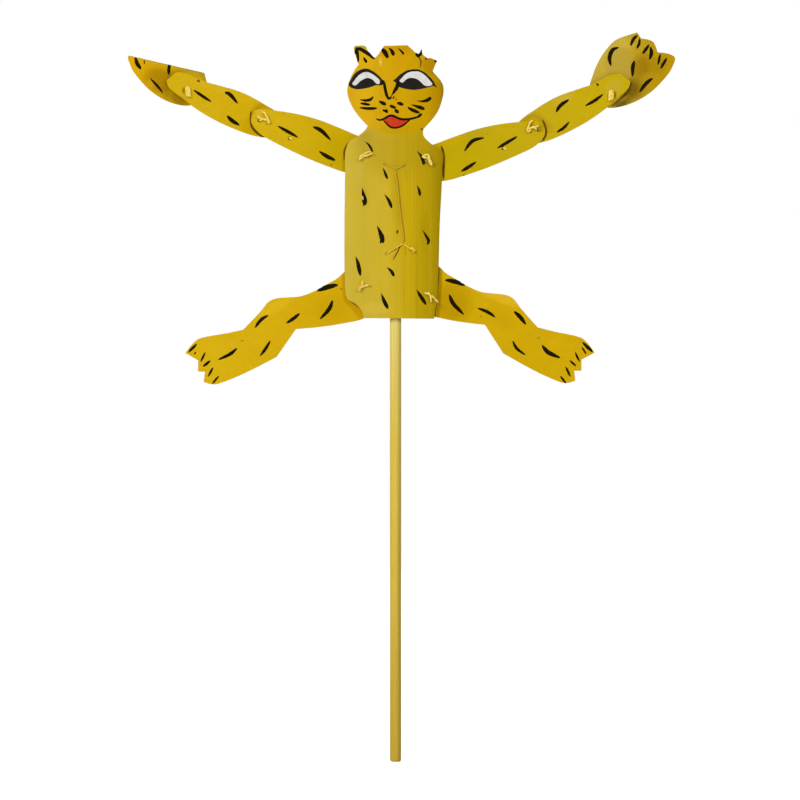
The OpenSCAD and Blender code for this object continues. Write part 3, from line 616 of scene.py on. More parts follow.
patch_film("eyes", eye_rims, plain_paint("eye_black", (18, 15, 10), (12, 9, 4), 0.45),
           thick=0.08)
patch_film("eye_whites", eye_whites,
           plain_paint("eye_white", (224, 222, 216), (208, 206, 202), 0.45), base=film_t)
patch_film("mouth", [mouth_red], plain_paint("mouth_red", (206, 60, 26), (192, 48, 20), 0.42),
           thick=0.06)

# Painted shade: the fold at the torn ear, the shadow beside the lower lashing's loose
# end and the dark pin hole above it. At the chest's left edge a chip in a brush mark
# shows the bare card.
painted_shade_brown = plain_paint("painted_shade_brown", (116, 80, 6), (88, 54, 2), 0.6)
creases_and_shadow = [(((20.7, 634.4), (22.8, 629.6), (22.2, 624.6)), 1.4),
           (((4.2, 463.9), (2.2, 459.5), (0.1, 455.5), (-2.1, 451.6)), 1.2),
           (((1.9, 478.3), (1.3, 474.9)), 1.9)]
brush_film("creases_and_shadow", creases_and_shadow, painted_shade_brown, *on_torso, thick=0.04, belly=0.4, point=0.8)
chip = [(((-30, 509.2), (-29.7, 507.4), (-29.2, 505.4)), 1.5)]
brush_film("chip", chip, plain_paint("bare_card", (210, 192, 120), (196, 176, 104), 0.7),
           *on_torso, base=film_t, thick=0.04, point=0.8)


# Limbs: flat cards behind the body, brushed in leap yellow along their length.
# Each is dressed in its own shade, as each was painted by itself.
def make_turning_shade():
    """Paint that turns from one shade to another between two places along X."""
    group, given, out = new_group("turning_shade", colours=("First", "Second"),
                                  values=("Start", "End"))
    across = wire(group, "ShaderNodeSeparateXYZ", {0: given["Place"]}).outputs["X"]
    share = spread(group, across, given["Start"], given["End"], smooth=True)
    return give_out(group, out, blended(group, share, given["First"], given["Second"]))


turning_shade = make_turning_shade()


def shade_across(start, end, first, second):
    """A limb's tint, which turns between start and end, in mm."""
    return lambda tree, place: placed(
        tree, turning_shade, Place=place, Start=start * MM, End=end * MM,
        First=paint(*first), Second=paint(*second))["Colour"]


# The brush's rise in degrees, then where each paint turns and its two shades
limb_shades = {
    "upper_arm_left": (22, -120, -40, (209, 173, 18), (197, 163, 4)),
    "upper_arm_right": (-17, 40, 125, (192, 165, 4), (196, 168, 16)),
    "forearm_left": (19, -190, -110, (208, 171, 18), (207, 168, 8)),
    "forearm_right": (-22, 110, 190, (199, 167, 22), (197, 169, 10)),
    "hand_left": (13, -240, -175, (212, 164, 4), (196, 162, 22)),
    # The right paw turns from pale to dark across its bend: painted light and shade
    "hand_right": (-60, 188, 240, (196, 168, 54), (186, 148, 4)),
    "leg_left": (-30, -180, -40, (216, 176, 16), (212, 168, 10)),
    "leg_right": (30, 40, 170, (208, 168, 8), (212, 170, 8)),
}
# Painted shadows round the knots and beside the ends of the cards in front, painted
# light and shade over the bends of the paws and legs, paler and duller patches, and
# a few small dots and marks
limb_blots = {
    "upper_arm_left": [
        (-122.8, 577, 6.5, 4.2, -15, (112, 80, 2), 0.8),
        (-115.4, 574.4, 6, 2.8, 10, (130, 98, 4), 0.6),
        (-117, 578.6, 5, 3, 60, (150, 116, 4), 0.6),
        (-121, 584, 14, 10, 0, (220, 186, 56), 0.6), (-52, 548, 30, 40, 0, (186, 156, 2), 0.5)],
    "upper_arm_right": [
        (127.8, 569, 10, 4.8, -16, (104, 78, 2), 0.85), (121.6, 567, 6, 2.8, 0, (122, 92, 4), 0.6),
        (121.8, 574, 4, 3, 0, (126, 96, 6), 0.6), (131.4, 571, 9, 13, 0, (150, 122, 8), 0.5),
        (50, 560, 34, 16, 20, (208, 164, 8), 0.6), (76, 566, 40, 12, 15, (184, 160, 30), 0.5)],
    "forearm_left": [
        (-191, 604.6, 5, 9, 0, (128, 94, 4), 0.8), (-192, 596, 16, 8, -35, (178, 136, 10), 0.6),
        (-131, 572, 30, 26, 0, (188, 148, 2), 0.55),
        (-160, 606, 60, 10, -20, (216, 182, 30), 0.4)],
    "forearm_right": [
        (197, 608, 28, 16, 30, (200, 168, 58), 0.5), (198.2, 600.8, 4, 9, 0, (120, 88, 4), 0.75),
        (152, 597, 30, 12, 30, (204, 174, 62), 0.5), (134, 571, 22, 20, 0, (176, 142, 8), 0.5)],
    "hand_left": [
        (-210, 613, 50, 34, -24, (164, 120, 0), 0.85, 0.35),
        (-236, 632, 22, 18, -50, (222, 166, 6), 0.7), (-196, 596, 34, 16, -42, (132, 98, 0), 0.8),
        (-221, 611, 12, 14, -50, (214, 160, 14), 0.6),
        (-203, 604, 16, 12, -42, (170, 130, 2), 0.6)],
    "hand_right": [
        (222, 626, 28, 36, -20, (152, 114, 0), 0.75), (212, 606, 34, 32, 0, (104, 76, 0), 0.85),
        (203, 592, 28, 12, 30, (70, 48, 0), 0.8), (203, 646, 34, 20, 20, (206, 178, 66), 0.7),
        (202, 628, 28, 36, 0, (186, 158, 56), 0.75, 0.84),
        (238, 628, 22, 30, -30, (170, 134, 12), 0.85),
        (228, 616, 14, 16, -30, (182, 148, 12), 0.6), (226, 644, 22, 12, -30, (190, 160, 34), 0.5)],
    "leg_left": [
        (-56, 408, 50, 40, 0, (196, 156, 6), 0.55), (-108, 409, 50, 14, 30, (224, 186, 32), 0.6),
        (-150, 372, 70, 26, 15, (216, 178, 24), 0.5),
        (-138.4, 378.7, 4.4, 2.4, -20, (150, 122, 10), 0.8),
        (-48.8, 425.4, 4, 3, 0, (150, 92, 4), 0.7)],
    "leg_right": [
        (50, 412, 52, 56, 0, (182, 142, 0), 0.75, 0.3),
        (98, 418, 70, 16, -18, (228, 184, 34), 0.75, 0.4),
        (128.9, 381.4, 4.4, 3.4, 0, (156, 120, 6), 0.75),
        (77.1, 400.8, 2.2, 2.2, 0, (120, 84, 4), 0.8),
        (96, 398, 44, 20, -40, (198, 154, 4), 0.4), (150, 372, 50, 22, -25, (216, 172, 8), 0.5)],
}
pivots = {joint["name"]: Vector(joint["pos_m"]) / MM for joint in frame["joints"]}
# Each ring of painted shade: its joint, the radii between which it fades, and its strength
painted_shade_rings = {"forearm_left": ("elbow_left", 12.5, 18, 0.3),
                "forearm_right": ("elbow_right", 10, 15, 0.22),
                "hand_left": ("wrist_left", 20, 27, 0.25),
                "hand_right": ("wrist_right", 18, 24, 0.14)}
# The left paw's curl turns its face away, so its cut edge is found along the paw
paw_tilt = math.radians(13)
cut_axes = {"hand_left": (math.cos(paw_tilt), 0, -math.sin(paw_tilt))}
for node, (turn, *shades) in limb_shades.items():
    ring_of_shade = None
    if node in painted_shade_rings:
        joint, *ring = painted_shade_rings[node]
        ring_of_shade = (pivots[joint], *ring)
    dress(node, card_material(node + "_card", turn, shade_across(*shades), ring_of_shade=ring_of_shade,
                              cut_axis=cut_axes.get(node), blots=limb_blots[node]))


def lay_flat(node):
    """The way that paint lies on a flat card."""
    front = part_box(node)[0].y / MM
    return lambda x, z, lift: Vector((x, front - lift, z))


limb_marks = {
    "upper_arm_left": [
        (((-106.3, 572.4), (-96.8, 567.2), (-87.8, 562)), 3),
        (((-74.6, 571.8), (-67, 568.2), (-58.3, 559.5)), 3.6),
        (((-69, 549.6), (-61.3, 544.7), (-54.2, 541.4)), 3.6),
        (((-58.5, 537.8), (-57.4, 537.2)), 1)],
    "upper_arm_right": [
        (((61.9, 549.6), (69.4, 558.9), (79.9, 561.8)), 3.2),
        (((91.6, 552.4), (100.5, 557.5), (109.8, 563)), 2.9),
        (((59.1, 531.4), (65.3, 535.1), (72.8, 540.1)), 3.2),
        (((61, 528.3), (62.1, 527.6)), 1.1), (((82, 565), (82.7, 565)), 0.7)],
    "forearm_left": [
        (((-182.3, 605.2), (-174.5, 599.7), (-165.9, 594.2)), 2.8),
        (((-154.2, 602.9), (-149, 600.7), (-142.4, 592.8)), 3.5),
        (((-152, 581.9), (-147.5, 577.4), (-140.6, 573.1)), 3.6)],
    "forearm_right": [
        (((144.6, 584.9), (149.1, 591.4), (156.5, 596.4)), 3.4),
        (((171, 590.7), (179.5, 595.4), (187.3, 601.3)), 2.9),
        (((145.2, 566.8), (151.4, 570.7), (156.7, 576.2)), 2.7)],
    "leg_left": [
        (((-70.8, 423.7), (-61, 427.3), (-51.9, 429.2)), 4.6),
        (((-56.7, 415.4), (-59.8, 407.5), (-68.2, 398.1)), 3.6),
        (((-86.4, 403.5), (-91.6, 399.1), (-98.5, 394.6)), 3.2),
        (((-114.8, 401.9), (-121.5, 397.4), (-126.8, 390.4)), 3.1),
        (((-112.9, 378.9), (-117, 371.8), (-122.1, 365.1)), 2.8),
        (((-142.7, 372.2), (-149.1, 366.9), (-160, 361.6)), 3.1),
        (((-179.1, 376), (-186.8, 368.3)), 2.4), (((-179.9, 368.8), (-181.5, 366.4)), 1.2),
        (((-171.5, 368.6), (-175.6, 359.6)), 1.9), (((-166.9, 360.9), (-173.6, 355.4)), 2.5),
        (((-164.5, 354.9), (-169, 346.3)), 2.1), (((-159.3, 347.1), (-165.3, 339.9)), 1.9)],
    "leg_right": [
        (((44.5, 433.6), (53.6, 432.1), (62.7, 428.5)), 4.1),
        (((48.3, 420.5), (52.1, 412.2), (61.6, 402.3)), 3.8),
        (((73.8, 408.2), (82.9, 404.8), (90, 399.9)), 3),
        (((106.7, 405.4), (112.2, 400.3), (117.5, 393.4)), 3.8),
        (((105.5, 378.9), (109.2, 372), (117.2, 365.8)), 2.7),
        (((131.9, 374.8), (137.5, 368.5), (148.5, 363.3)), 4),
        (((168.4, 377.5), (177.8, 368.6)), 3), (((167.9, 373.2), (171.9, 366.6)), 1.7),
        (((161.8, 368.4), (165.9, 359.9)), 1.9), (((157, 361.1), (162.7, 355.9)), 2),
        (((153.3, 355.4), (157.6, 346.4)), 2.2), (((148.5, 347), (153.9, 340.1)), 2)],
}
for node, touches in limb_marks.items():
    brush_film(node + "_marks", touches, black_paint, lay_flat(node), node, point=1.15)

# Painted shadows: the dark line that the rim of each card in front casts on the card
# behind it, painted on that card, and brown marks at the forearms' pin holes.
painted_shadow_lines = {
    "upper_arm_left": [(((-46.4, 541), (-46.1, 550), (-42.4, 556.9), (-37, 560.8)), 1.5)],
    "upper_arm_right": [(((41, 554.5), (42.9, 548), (43.1, 536), (43.2, 525)), 2.6)],
    "forearm_left": [
        (((-130.6, 586), (-130.4, 577.8), (-129, 571), (-124.9, 566.3), (-118.2, 561.9)), 2.2),
        (((-179, 613.9), (-176.6, 612.4)), 2.3)],
    "forearm_right": [(((132.6, 578.5), (135, 571.8), (135.5, 565.4), (132.4, 559)), 2.2),
                      (((181.2, 611), (183.2, 608.8)), 2.3)],
    "hand_right": [
        (((212, 613.5), (211.9, 610), (209.8, 603.4), (202.5, 596.6), (195.2, 590.6)), 1.9)],
    "leg_right": [(((39.3, 444.6), (38.4, 433.4), (36.3, 415.4), (35.6, 400)), 1.5)],
}
for node, touches in painted_shadow_lines.items():
    brush_film(node + "_scuffs", touches, painted_shade_brown, lay_flat(node), node, thick=0.04,
               point=0.7)

# Right paw: warped card, which steps back in two gentle bends beyond the wrist. Its
# claws' marks are brushed on the front.
warp_r, warp_angle, warp_start = 60, math.radians(13), 20


def lay_on_right_paw(x, z, lift):
    """The point of the warped card at x and z, in front of it by lift."""
    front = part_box("hand_right")[0].y / MM
    bend_w, step = warp_r * math.sin(warp_angle), warp_r * (1 - math.cos(warp_angle))
    past = x - pivots["wrist_right"].x - warp_start
    if past <= 0:
        back = 0
    elif past < bend_w:
        back = warp_r + card_t - math.sqrt((warp_r + card_t) ** 2 - past**2)
    elif past < 2 * bend_w:
        back = 2 * step - warp_r + math.sqrt(warp_r**2 - (2 * bend_w - past) ** 2)
    else:
        back = 2 * step
    return Vector((x, front + back - lift, z))


right_paw_marks = [
    (((201.2, 643.7), (195.8, 641.2), (193.1, 634.2), (194.4, 626.8)), 3.8),
    (((215.6, 631.8), (214.1, 625.6), (213.9, 617.4)), 3.6),
    (((232.2, 616.1), (226.2, 611.2), (220.1, 603.2)), 3.5),
    (((218.2, 654.8), (214.6, 650.8), (212, 644.9)), 3),
    (((220.4, 651.9), (219.8, 647), (217.6, 642.4)), 2.5), (((229, 646.4), (222.9, 637.7)), 2.9),
    (((230.4, 644.5), (231, 638.4), (229.3, 632.8)), 3.4), (((239.2, 638.1), (237.1, 628.1)), 2.4),
    (((245.1, 634.5), (239.3, 624.6)), 2.7),
]
brush_film("right_paw_marks", right_paw_marks, black_paint, lay_on_right_paw, "hand_right",
           [("x", 192, 248, 3)], point=1.15)

# Left paw: the same card as the right one turned over, with its claws curled
# back. Its marks are laid out along the flat card and then go round the curl.
curl_r, curl_angle, curl_start = 2, math.radians(118), 17.2
curl_mid = curl_r + card_t / 2
curl_length = curl_mid * curl_angle


def lay_on_left_paw(across, up, lift):
    """across runs from the wrist to the knuckles' end, up along the flat card."""
    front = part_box("hand_left")[0].y / MM
    outer = curl_r + card_t
    turn = min(max(up - curl_start, 0) / curl_mid, curl_angle)
    past = max(up - curl_start - curl_length, 0)
    rise = min(up, curl_start) + outer * math.sin(turn) + past * math.cos(turn)
    back = outer * (1 - math.cos(turn)) + past * math.sin(turn)
    rise += lift * math.sin(turn)
    back -= lift * math.cos(turn)
    wrist = pivots["wrist_left"]
    return Vector((wrist.x - across * math.cos(paw_tilt) + rise * math.sin(paw_tilt),
                   front + back,
                   wrist.z + across * math.sin(paw_tilt) + rise * math.cos(paw_tilt)))


def on_flat_left_paw(x, z):
    """Where a point seen from the front lies on the paw's card before the curl."""
    wrist = pivots["wrist_left"]
    dx, dz = wrist.x - x, z - wrist.z
    across = dx * math.cos(paw_tilt) + dz * math.sin(paw_tilt)
    rise = dz * math.cos(paw_tilt) - dx * math.sin(paw_tilt)
    if rise > curl_start:
        turn = math.asin(min(1, (rise - curl_start) / (curl_r + card_t)))
        rise = curl_start + curl_mid * turn
    return across, rise


left_paw_front = [
    (((-235.2, 635), (-233, 628.8), (-229.6, 623.9)), 3.6),
    (((-221.4, 615.7), (-215, 608.9), (-210, 602.5)), 2.4),
    (((-227, 632), (-226.6, 628.4)), 1),
]
# Marks that run over the fold, and those of the claws behind it, in mm on the card
left_paw_curled = [
    (((20.4, 10.8), (21.4, 16), (22.6, 25)), 3), (((38.5, 24), (37.6, 28), (38, 32)), 2.2),
    (((24, 45.5), (22.4, 41), (22, 37)), 2.3), (((28.4, 43.5), (28.4, 39.5), (27.6, 35.5)), 2),
    (((37, 38.5), (34, 34.5), (32.4, 31.5)), 2.2), (((39.5, 37.5), (39.5, 33.5), (38, 29)), 2.4),
    (((50.5, 24), (49.6, 22), (49, 19.5)), 2),
]
left_paw_marks = [([on_flat_left_paw(*spot) for spot in path], width)
                  for path, width in left_paw_front] + left_paw_curled
brush_film("left_paw_marks", left_paw_marks, black_paint, lay_on_left_paw, "hand_left",
           [("y", curl_start, 22.6, 0.36)], point=1.15)

# Ties: each joint is strung with a length of soft two-ply twine, doubled through
# the punched holes and held by an overhand knot in front and one behind.
cord_d, squeezed_d, knot_gap = 1.8, 1.5, 0.1
knot_loop, knot_depth = 0.8 * cord_d, 0.97 * cord_d
# Where on its loop the knot begins and ends, and the way its tails leave, in degrees
knot_from, knot_to, tail_heading = 100, 380, 30


def make_fibres():
    """Soft spun fibre in two shades, with soiled patches along it."""
    group, given, out = new_group("fibres", colours=("Deep", "Pale", "Soiled"),
                                  gives=("Colour", "Roughness", "Height"))
    fibre = noisy(group, given["Place"], 1100.0, 2.0)
    soil = noisy(group, given["Place"], 160.0, 2.0)
    colour = blended(group, spread(group, fibre, 0.3, 0.7), given["Deep"], given["Pale"])
    colour = blended(group, spread(group, soil, 0.5, 0.8), colour, given["Soiled"])
    return give_out(group, out, colour, spread(group, fibre, 0.3, 0.7, 0.75, 0.95), fibre)


fibres = make_fibres()


def make_twine(name, deep, pale, soiled):
    material, tree, place = new_material(name)
    spun = placed(tree, fibres, Place=place, Deep=paint(*deep), Pale=paint(*pale),
                  Soiled=paint(*soiled))
    surface = coat(tree, *spun, specular=0.2)
    surface.inputs["Sheen Weight"].default_value = 0.25
    surface.inputs["Sheen Tint"].default_value = (1, 0.8, 0.35, 1)
    return material


cream_twine = make_twine("cream_twine", (240, 206, 78), (255, 236, 126), (218, 182, 50))


def evened(points, step, fineness=12):
    """Points at even steps along a route, with smooth curves between them."""
    fine, last = [], len(points) - 1
    for k in range(last):
        four = [points[min(max(k + d, 0), last)] for d in (-1, 0, 1, 2)]
        fine += [curved(i / fineness, *four) for i in range(fineness)]
    fine.append(points[-1])
    out, left = [fine[0]], step
    for a, b in zip(fine, fine[1:]):
        span = (b - a).length
        while span > 0 and left <= span:
            a = a + (b - a) * (left / span)
            span -= left
            left = step
            out.append(a)
        left -= span
    return out


def twist(route, thickness, groove=0.12, lay=5.5, plies=2, pace=0.17, ply_r=0.39, uneven=0.06):
    """The plies of a twisted cord: each winds round the route once in lay
    thicknesses, and carries its own radius at every point. A smaller groove presses
    the plies into one. pace, the step from point to point, and ply_r are shares of the
    thickness, and uneven is how far the spinning lets a ply's radius vary."""
    centre = evened(route, thickness * pace)
    frames, across = [], Vector((0.13, 1, 0.21))
    for k, spot in enumerate(centre):
        way = (centre[min(k + 1, len(centre) - 1)] - centre[max(k - 1, 0)]).normalized()
        across = (across - way * across.dot(way)).normalized()
        frames.append((spot, across, way.cross(across), k * thickness * pace))
    made = []
    for ply in range(plies):
        line = []
        for spot, u, v, far in frames:
            angle = 2 * math.pi * (far / (lay * thickness) + ply / plies)
            slub = 1 + uneven * noise.noise(Vector((far * 0.9, ply * 7.1, spot.x * 0.1)))
            out = thickness * groove
            line.append((spot + out * (math.cos(angle) * u + math.sin(angle) * v),
                         thickness * ply_r * slub))
        made.append(line)
    return made


def frayed(route, thickness, count=7, length=2.0):
    """Loose fibres that leave the rim of the twine's cut end, fan out and thin away."""
    tip, way = route[-1], (route[-1] - route[-2]).normalized()
    side = way.cross(Vector((0, 1, 0.1))).normalized()
    made = []
    for k in range(count):
        around = 2 * math.pi * k / count
        lean = side * math.cos(around) + way.cross(side) * math.sin(around)
        reach = length * (0.6 + 0.4 * noise.noise(Vector((tip.x + k, tip.z, k * 3.3))))
        start = tip + lean * thickness * 0.25 - way * 0.5
        made.append([(start, 0.16 * thickness),
                     (start + way * reach * 0.6 + lean * reach * 0.12, 0.12 * thickness),
                     (start + way * reach + lean * reach * 0.34, 0.04 * thickness)])
    return made


def make_cord(name, lines, material, body, *nodes):
    """One curve object of round threads, in place of the CAD's own cord if it has one."""
    data = bpy.data.curves.new(name, "CURVE")
    data.dimensions = "3D"
    data.bevel_depth = MM
    data.bevel_resolution = 2
    data.use_fill_caps = True
    for line in lines:
        spline = data.splines.new("POLY")
        spline.points.add(len(line) - 1)
        for point, (spot, radius) in zip(spline.points, line):
            point.co = (*(spot * MM), 1)
            point.radius = radius
    piece = add_object(name, data, material)
    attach(piece, body)
    if nodes:
        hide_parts(*nodes)


def knot_point(angle):
    """A point of the overhand knot's loop, which crosses itself three times."""
    a = math.radians(angle)
    return Vector((knot_loop * (math.sin(a) + 2 * math.sin(2 * a)), -knot_depth * math.sin(3 * a),
                   knot_loop * (math.cos(a) - 2 * math.cos(2 * a))))


def overhand(turn, tails, centre):
    """The route of an overhand knot lying flat behind the card, with its two tails."""
    def tail(start, length, spread_out, share):
        a = math.radians(tail_heading + spread_out * share / 2)
        bow = math.sin(math.pi * share) * 0.12 * length
        return start + Vector((length * share * math.cos(a), bow, length * share * math.sin(a)))
    first, last = knot_point(knot_from), knot_point(knot_to)
    path = [tail(first, *tails[0], share) for share in (1, 0.66, 0.33)]
    path += [knot_point(a) for a in range(knot_from, knot_to + 1, 14)]
    path += [tail(last, *tails[1], share) for share in (0.33, 0.66, 1)]
    a = math.radians(turn - tail_heading)
    return [centre + Vector((p.x * math.cos(a) - p.z * math.sin(a), p.y,
                             p.x * math.sin(a) + p.z * math.cos(a))) for p in path]


# Body, joint, the strands in front as points across, over the card and up from the
# hole, then the knot behind: the way its tails point, and each tail's length and spread
ties = {
    "shoulder_left": ("body", [
        [(-5, 0.3, -4.4), (-1.5, 0.3, -1.4), (2, 0.2, -0.6), (5.9, 0, 1.4)],
        [(-4.6, 1.3, -1.4), (-1.2, 1.2, 0.6), (2, 0.6, 2.2), (4.6, 0, 2.9)],
        [(-3.7, 1.6, -0.4), (-4.7, 2, -2.6), (-5.6, 1.3, -4.6)]],
        (200, ((5, 20), (7, -10)))),
    "shoulder_right": ("body", [
        [(-5.7, 0, 2.2), (-3, 0.4, 1.4), (0.4, 0.8, 0.6), (2.6, 1.2, -3), (2.6, 1, -5.8)],
        [(-5.4, 0.2, 1.6), (-3.4, 0.8, 3.4), (-1, 1.2, 4), (0.6, 1.7, 2), (0.8, 1.7, -1.6),
         (1.6, 0.9, -4.6)]],
        (-40, ((6, 10), (5, -20)))),
    "elbow_left": ("upper_arm_left", [
        [(-3.6, 0.2, 5.9), (-1.4, 1, 5), (0.3, 1.5, 2.2), (1.9, 1.5, -1), (2.9, 1, -3),
         (1.4, 0.4, -3.9)],
        [(-8.3, 0.2, 2.1), (-5.6, 0.2, 0.4), (-2.6, 0.3, -0.6), (0.6, 0.3, -1.4), (2, 0.3, -2.6)],
        [(-5.7, 0, -2), (-3.8, 0.3, -0.6), (-1.6, 0.4, -0.2)]],
        (20, ((6, 30), (5, 0)))),
    "elbow_right": ("upper_arm_right", [
        [(-0.7, 0.2, 5.5), (-2.9, 1, 4.2), (-4.5, 1.4, 0.7), (-5.6, 1, -2.9), (-4.1, 0.5, -4.5),
         (-2.6, 0.3, -2.4)],
        [(-5.2, 0.2, -2), (-1, 0.3, -0.9), (2, 0.3, -0.3), (5, 0, 1)],
        [(-1.4, 0.6, 0.3), (0.8, 0.6, -1.1), (2.9, 0, -2.8)]],
        (60, ((5, 20), (6, -20)))),
    "wrist_left": ("forearm_left", [
        [(-1, 0.2, 4.4), (-1.6, 0.3, 1), (-1, 0.3, -1.6), (-0.3, 0, -4.4)],
        [(0.2, 0.9, 4.5), (0.1, 1.3, 0.8), (0.6, 1.2, -2), (1, 0.5, -4.6)],
        [(1.2, 0.2, 3.9), (1.5, 0.4, 1), (1.9, 0.4, -2), (2.3, 0, -5)]],
        (100, ((5, 40), (4, -20)))),
    "wrist_right": ("forearm_right", [
        [(-0.4, 0.2, 4.3), (-0.8, 0.4, 1), (-1, 0.4, -2), (-1, 0, -5.2)],
        [(0.6, 0.9, 4.6), (0.8, 1.3, 2), (0.5, 1.3, -1), (0.1, 0.6, -4)],
        [(1.4, 0.2, 3.9), (2.1, 0.5, 1), (2, 0.5, -1.6), (1.2, 0.1, -4.1)]],
        (-100, ((6, 10), (6, -30)))),
    "hip_left": ("body", [
        [(-2.3, 0.2, -4.4), (-0.8, 1, -1.4), (0.6, 1.2, 1.2), (1.2, 0.5, 4.5)],
        [(-1.4, 0.2, -2.2), (0.8, 0.3, -0.9), (3.2, 0.3, 0.1), (6.1, 0, 0.7)],
        [(-1.9, 1.3, -0.4), (-1.9, 1.7, -2.2), (-1.2, 1, -4)]],
        (-70, ((5, 20), (6, -20)))),
    "hip_right": ("body", [
        [(-5.9, 0, 3.6), (-3, 0.6, 2.8), (-0.8, 1.3, 1.4), (-0.2, 1.3, -1.4), (0, 0.4, -4.2)],
        [(-0.8, 0.3, 1.6), (1.4, 0.3, 0.4), (3.6, 0.2, -2), (6.2, 0, -4.7)],
        [(-2.6, 0, 4.6), (-1.6, 0.3, 2.4), (-0.6, 0.4, 0.2)]],
        (-150, ((5, 30), (7, -10)))),
}


def card_front(body, x):
    """The depth of the card that a tie's strands lie on, which rolls back on the body."""
    return lay_on_torso(x, 0, 0).y if body == "body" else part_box(body)[0].y / MM


# At the wrists the strands have been pressed into one flat bundle: how full each
# strand is drawn, and how deep its groove
pressed = {"wrist_left": (1.3, 0.05), "wrist_right": (1.3, 0.05)}
for joint, (body, strands, back_knot) in ties.items():
    node = joint.replace("_", "_cord_")
    at = pivots[joint]
    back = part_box(node)[1].y / MM - knot_depth - cord_d / 2
    lines = []
    for strand in strands:
        route = [Vector((at.x + across,
                         card_front(body, at.x + across) - cord_d / 2 - knot_gap - over, at.z + up))
                 for across, over, up in strand]
        full, groove = pressed.get(joint, (1.0, 0.12))
        lines += twist(route, cord_d * full, groove=groove)
        for end in (route, route[::-1]):
            lines += frayed(end, cord_d, count=4, length=0.7)
    route = overhand(*back_knot, Vector((at.x, back, at.z)))
    lines += twist(route, cord_d)
    lines += frayed(route, cord_d) + frayed(route[::-1], cord_d)
    front = card_front(body, at.x) - cord_d / 2 - knot_gap
    for side in (-1, 1):
        lines += twist([Vector((at.x + side * squeezed_d / 2, y, at.z))
                        for y in (front, front * 0.6 + back * 0.4, back)], squeezed_d)
    make_cord(joint + "_tie", lines, cream_twine, body, node)

# Plugs: a short end of twine stops the spare hole of each upper arm. A brown crescent
# beside it is painted shade in the hole round the plug.
plug_d = 1.7
spare_holes = {"upper_arm_left": (-94.5, 561), "upper_arm_right": (98.3, 552)}
for arm, (x, z) in spare_holes.items():
    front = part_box(arm)[0].y / MM
    stub = [Vector((x + across, front - over, z + up)) for across, over, up in
            ((-1.2, 0.3, 0.7), (-0.4, 0.9, 0.3), (0.5, 0.9, -0.2), (1.3, 0.3, -0.8))]
    make_cord(arm + "_plug", twist(stub, plug_d) + frayed(stub, plug_d, length=0.8),
              cream_twine, arm)
    rim = ((x - 1, z - 1.5), (x - 2, z - 0.4), (x - 1.8, z + 1.1), (x - 0.4, z + 1.9))
    brush_film(arm + "_hole_rim", [(rim, 1.3)], painted_shade_brown, lay_flat(arm), arm, thick=0.05)

# Lashings: thread that goes through two holes of the body and round the stick,
# above and below, with a thread down the front between them.
thread_d, thread_r = 1.1, 0.55
end_knot_d, loose_end_d = 1.6, 0.9
stick_r = 5.1
torso_back = torso_front + card_t
thread_front = torso_front - thread_r - knot_gap
round_stick = stick_r + thread_r + 2 * knot_gap


def lashing(knot, hole_left, hole_right):
    """From the knot through the right hole, round the stick, back through the left
    hole and to the knot again. turn is how wide the thread bends at a hole's rim."""
    turn = thread_r + 0.4
    (kx, kz), (lx, lz), (rx, rz) = knot, hole_left, hole_right
    route = [(kx, thread_front, kz), ((kx + rx) / 2, thread_front, (kz + rz) / 2),
             (rx - turn, thread_front, rz), (rx - 0.25 * turn, thread_front + 0.35 * turn, rz),
             (rx, thread_front + 1.3 * turn, rz), (rx, torso_back + thread_r, rz)]
    for a in range(0, 181, 30):
        route.append((round_stick * math.cos(math.radians(a)),
                      round_stick * math.sin(math.radians(a)), rz + (lz - rz) * a / 180))
    route += [(lx, torso_back + thread_r, lz), (lx, thread_front + 1.3 * turn, lz),
              (lx + 0.25 * turn, thread_front + 0.35 * turn, lz), (lx + turn, thread_front, lz),
              ((kx + lx) / 2, thread_front, (kz + lz) / 2), (kx - 0.6, thread_front, kz)]
    return [Vector(point) for point in route]


painted_thread = make_twine("painted_thread", (198, 168, 14), (216, 188, 44), (190, 158, 10))
bare_thread = make_twine("bare_thread", (226, 194, 50), (246, 218, 84), (208, 174, 38))
upper_knot, upper_left, upper_right = (0.4, 533.3), (-9.8, 537.8), (7.6, 536.5)
lower_knot, lower_left, lower_right = (6.8, 465.7), (-8.2, 457.5), (14.8, 460.8)
make_cord("upper_lash", twist(lashing(upper_knot, upper_left, upper_right), thread_d),
          painted_thread, "body", "upper_lashing")
# The lower lashing's right end is knotted over its hole
end_knot = (((12.4, 0.3, 462.1), (14.9, 1.2, 461), (17, 1.1, 459.9), (17.8, 0.4, 460.8)),
            ((14.2, 0.4, 462.4), (15.6, 1.6, 461.4), (16.4, 1.5, 459.4), (15.6, 0.4, 458.4)))
lower_lines = twist(lashing(lower_knot, lower_left, lower_right), thread_d)
for strand in end_knot:
    lower_lines += twist([Vector((x, thread_front - over, z)) for x, over, z in strand],
                         end_knot_d)
make_cord("lower_lash", lower_lines, bare_thread, "body", "lower_lashing")
down = [Vector((x, thread_front, z)) for x, z in (
    (-0.4, 531.8), (1.9, 516.4), (4.2, 492.7), (7, 471.7), (6.6, 467.2))]
make_cord("front_lash", twist(down, thread_d), painted_thread, "body", "front_thread")
loose = [Vector((x, thread_front, z)) for x, z in (
    (2.5, 462.6), (0.5, 458), (-1.5, 454.2), (-2.9, 451.9))]
make_cord("loose_end", twist(loose, loose_end_d), painted_thread, "body")
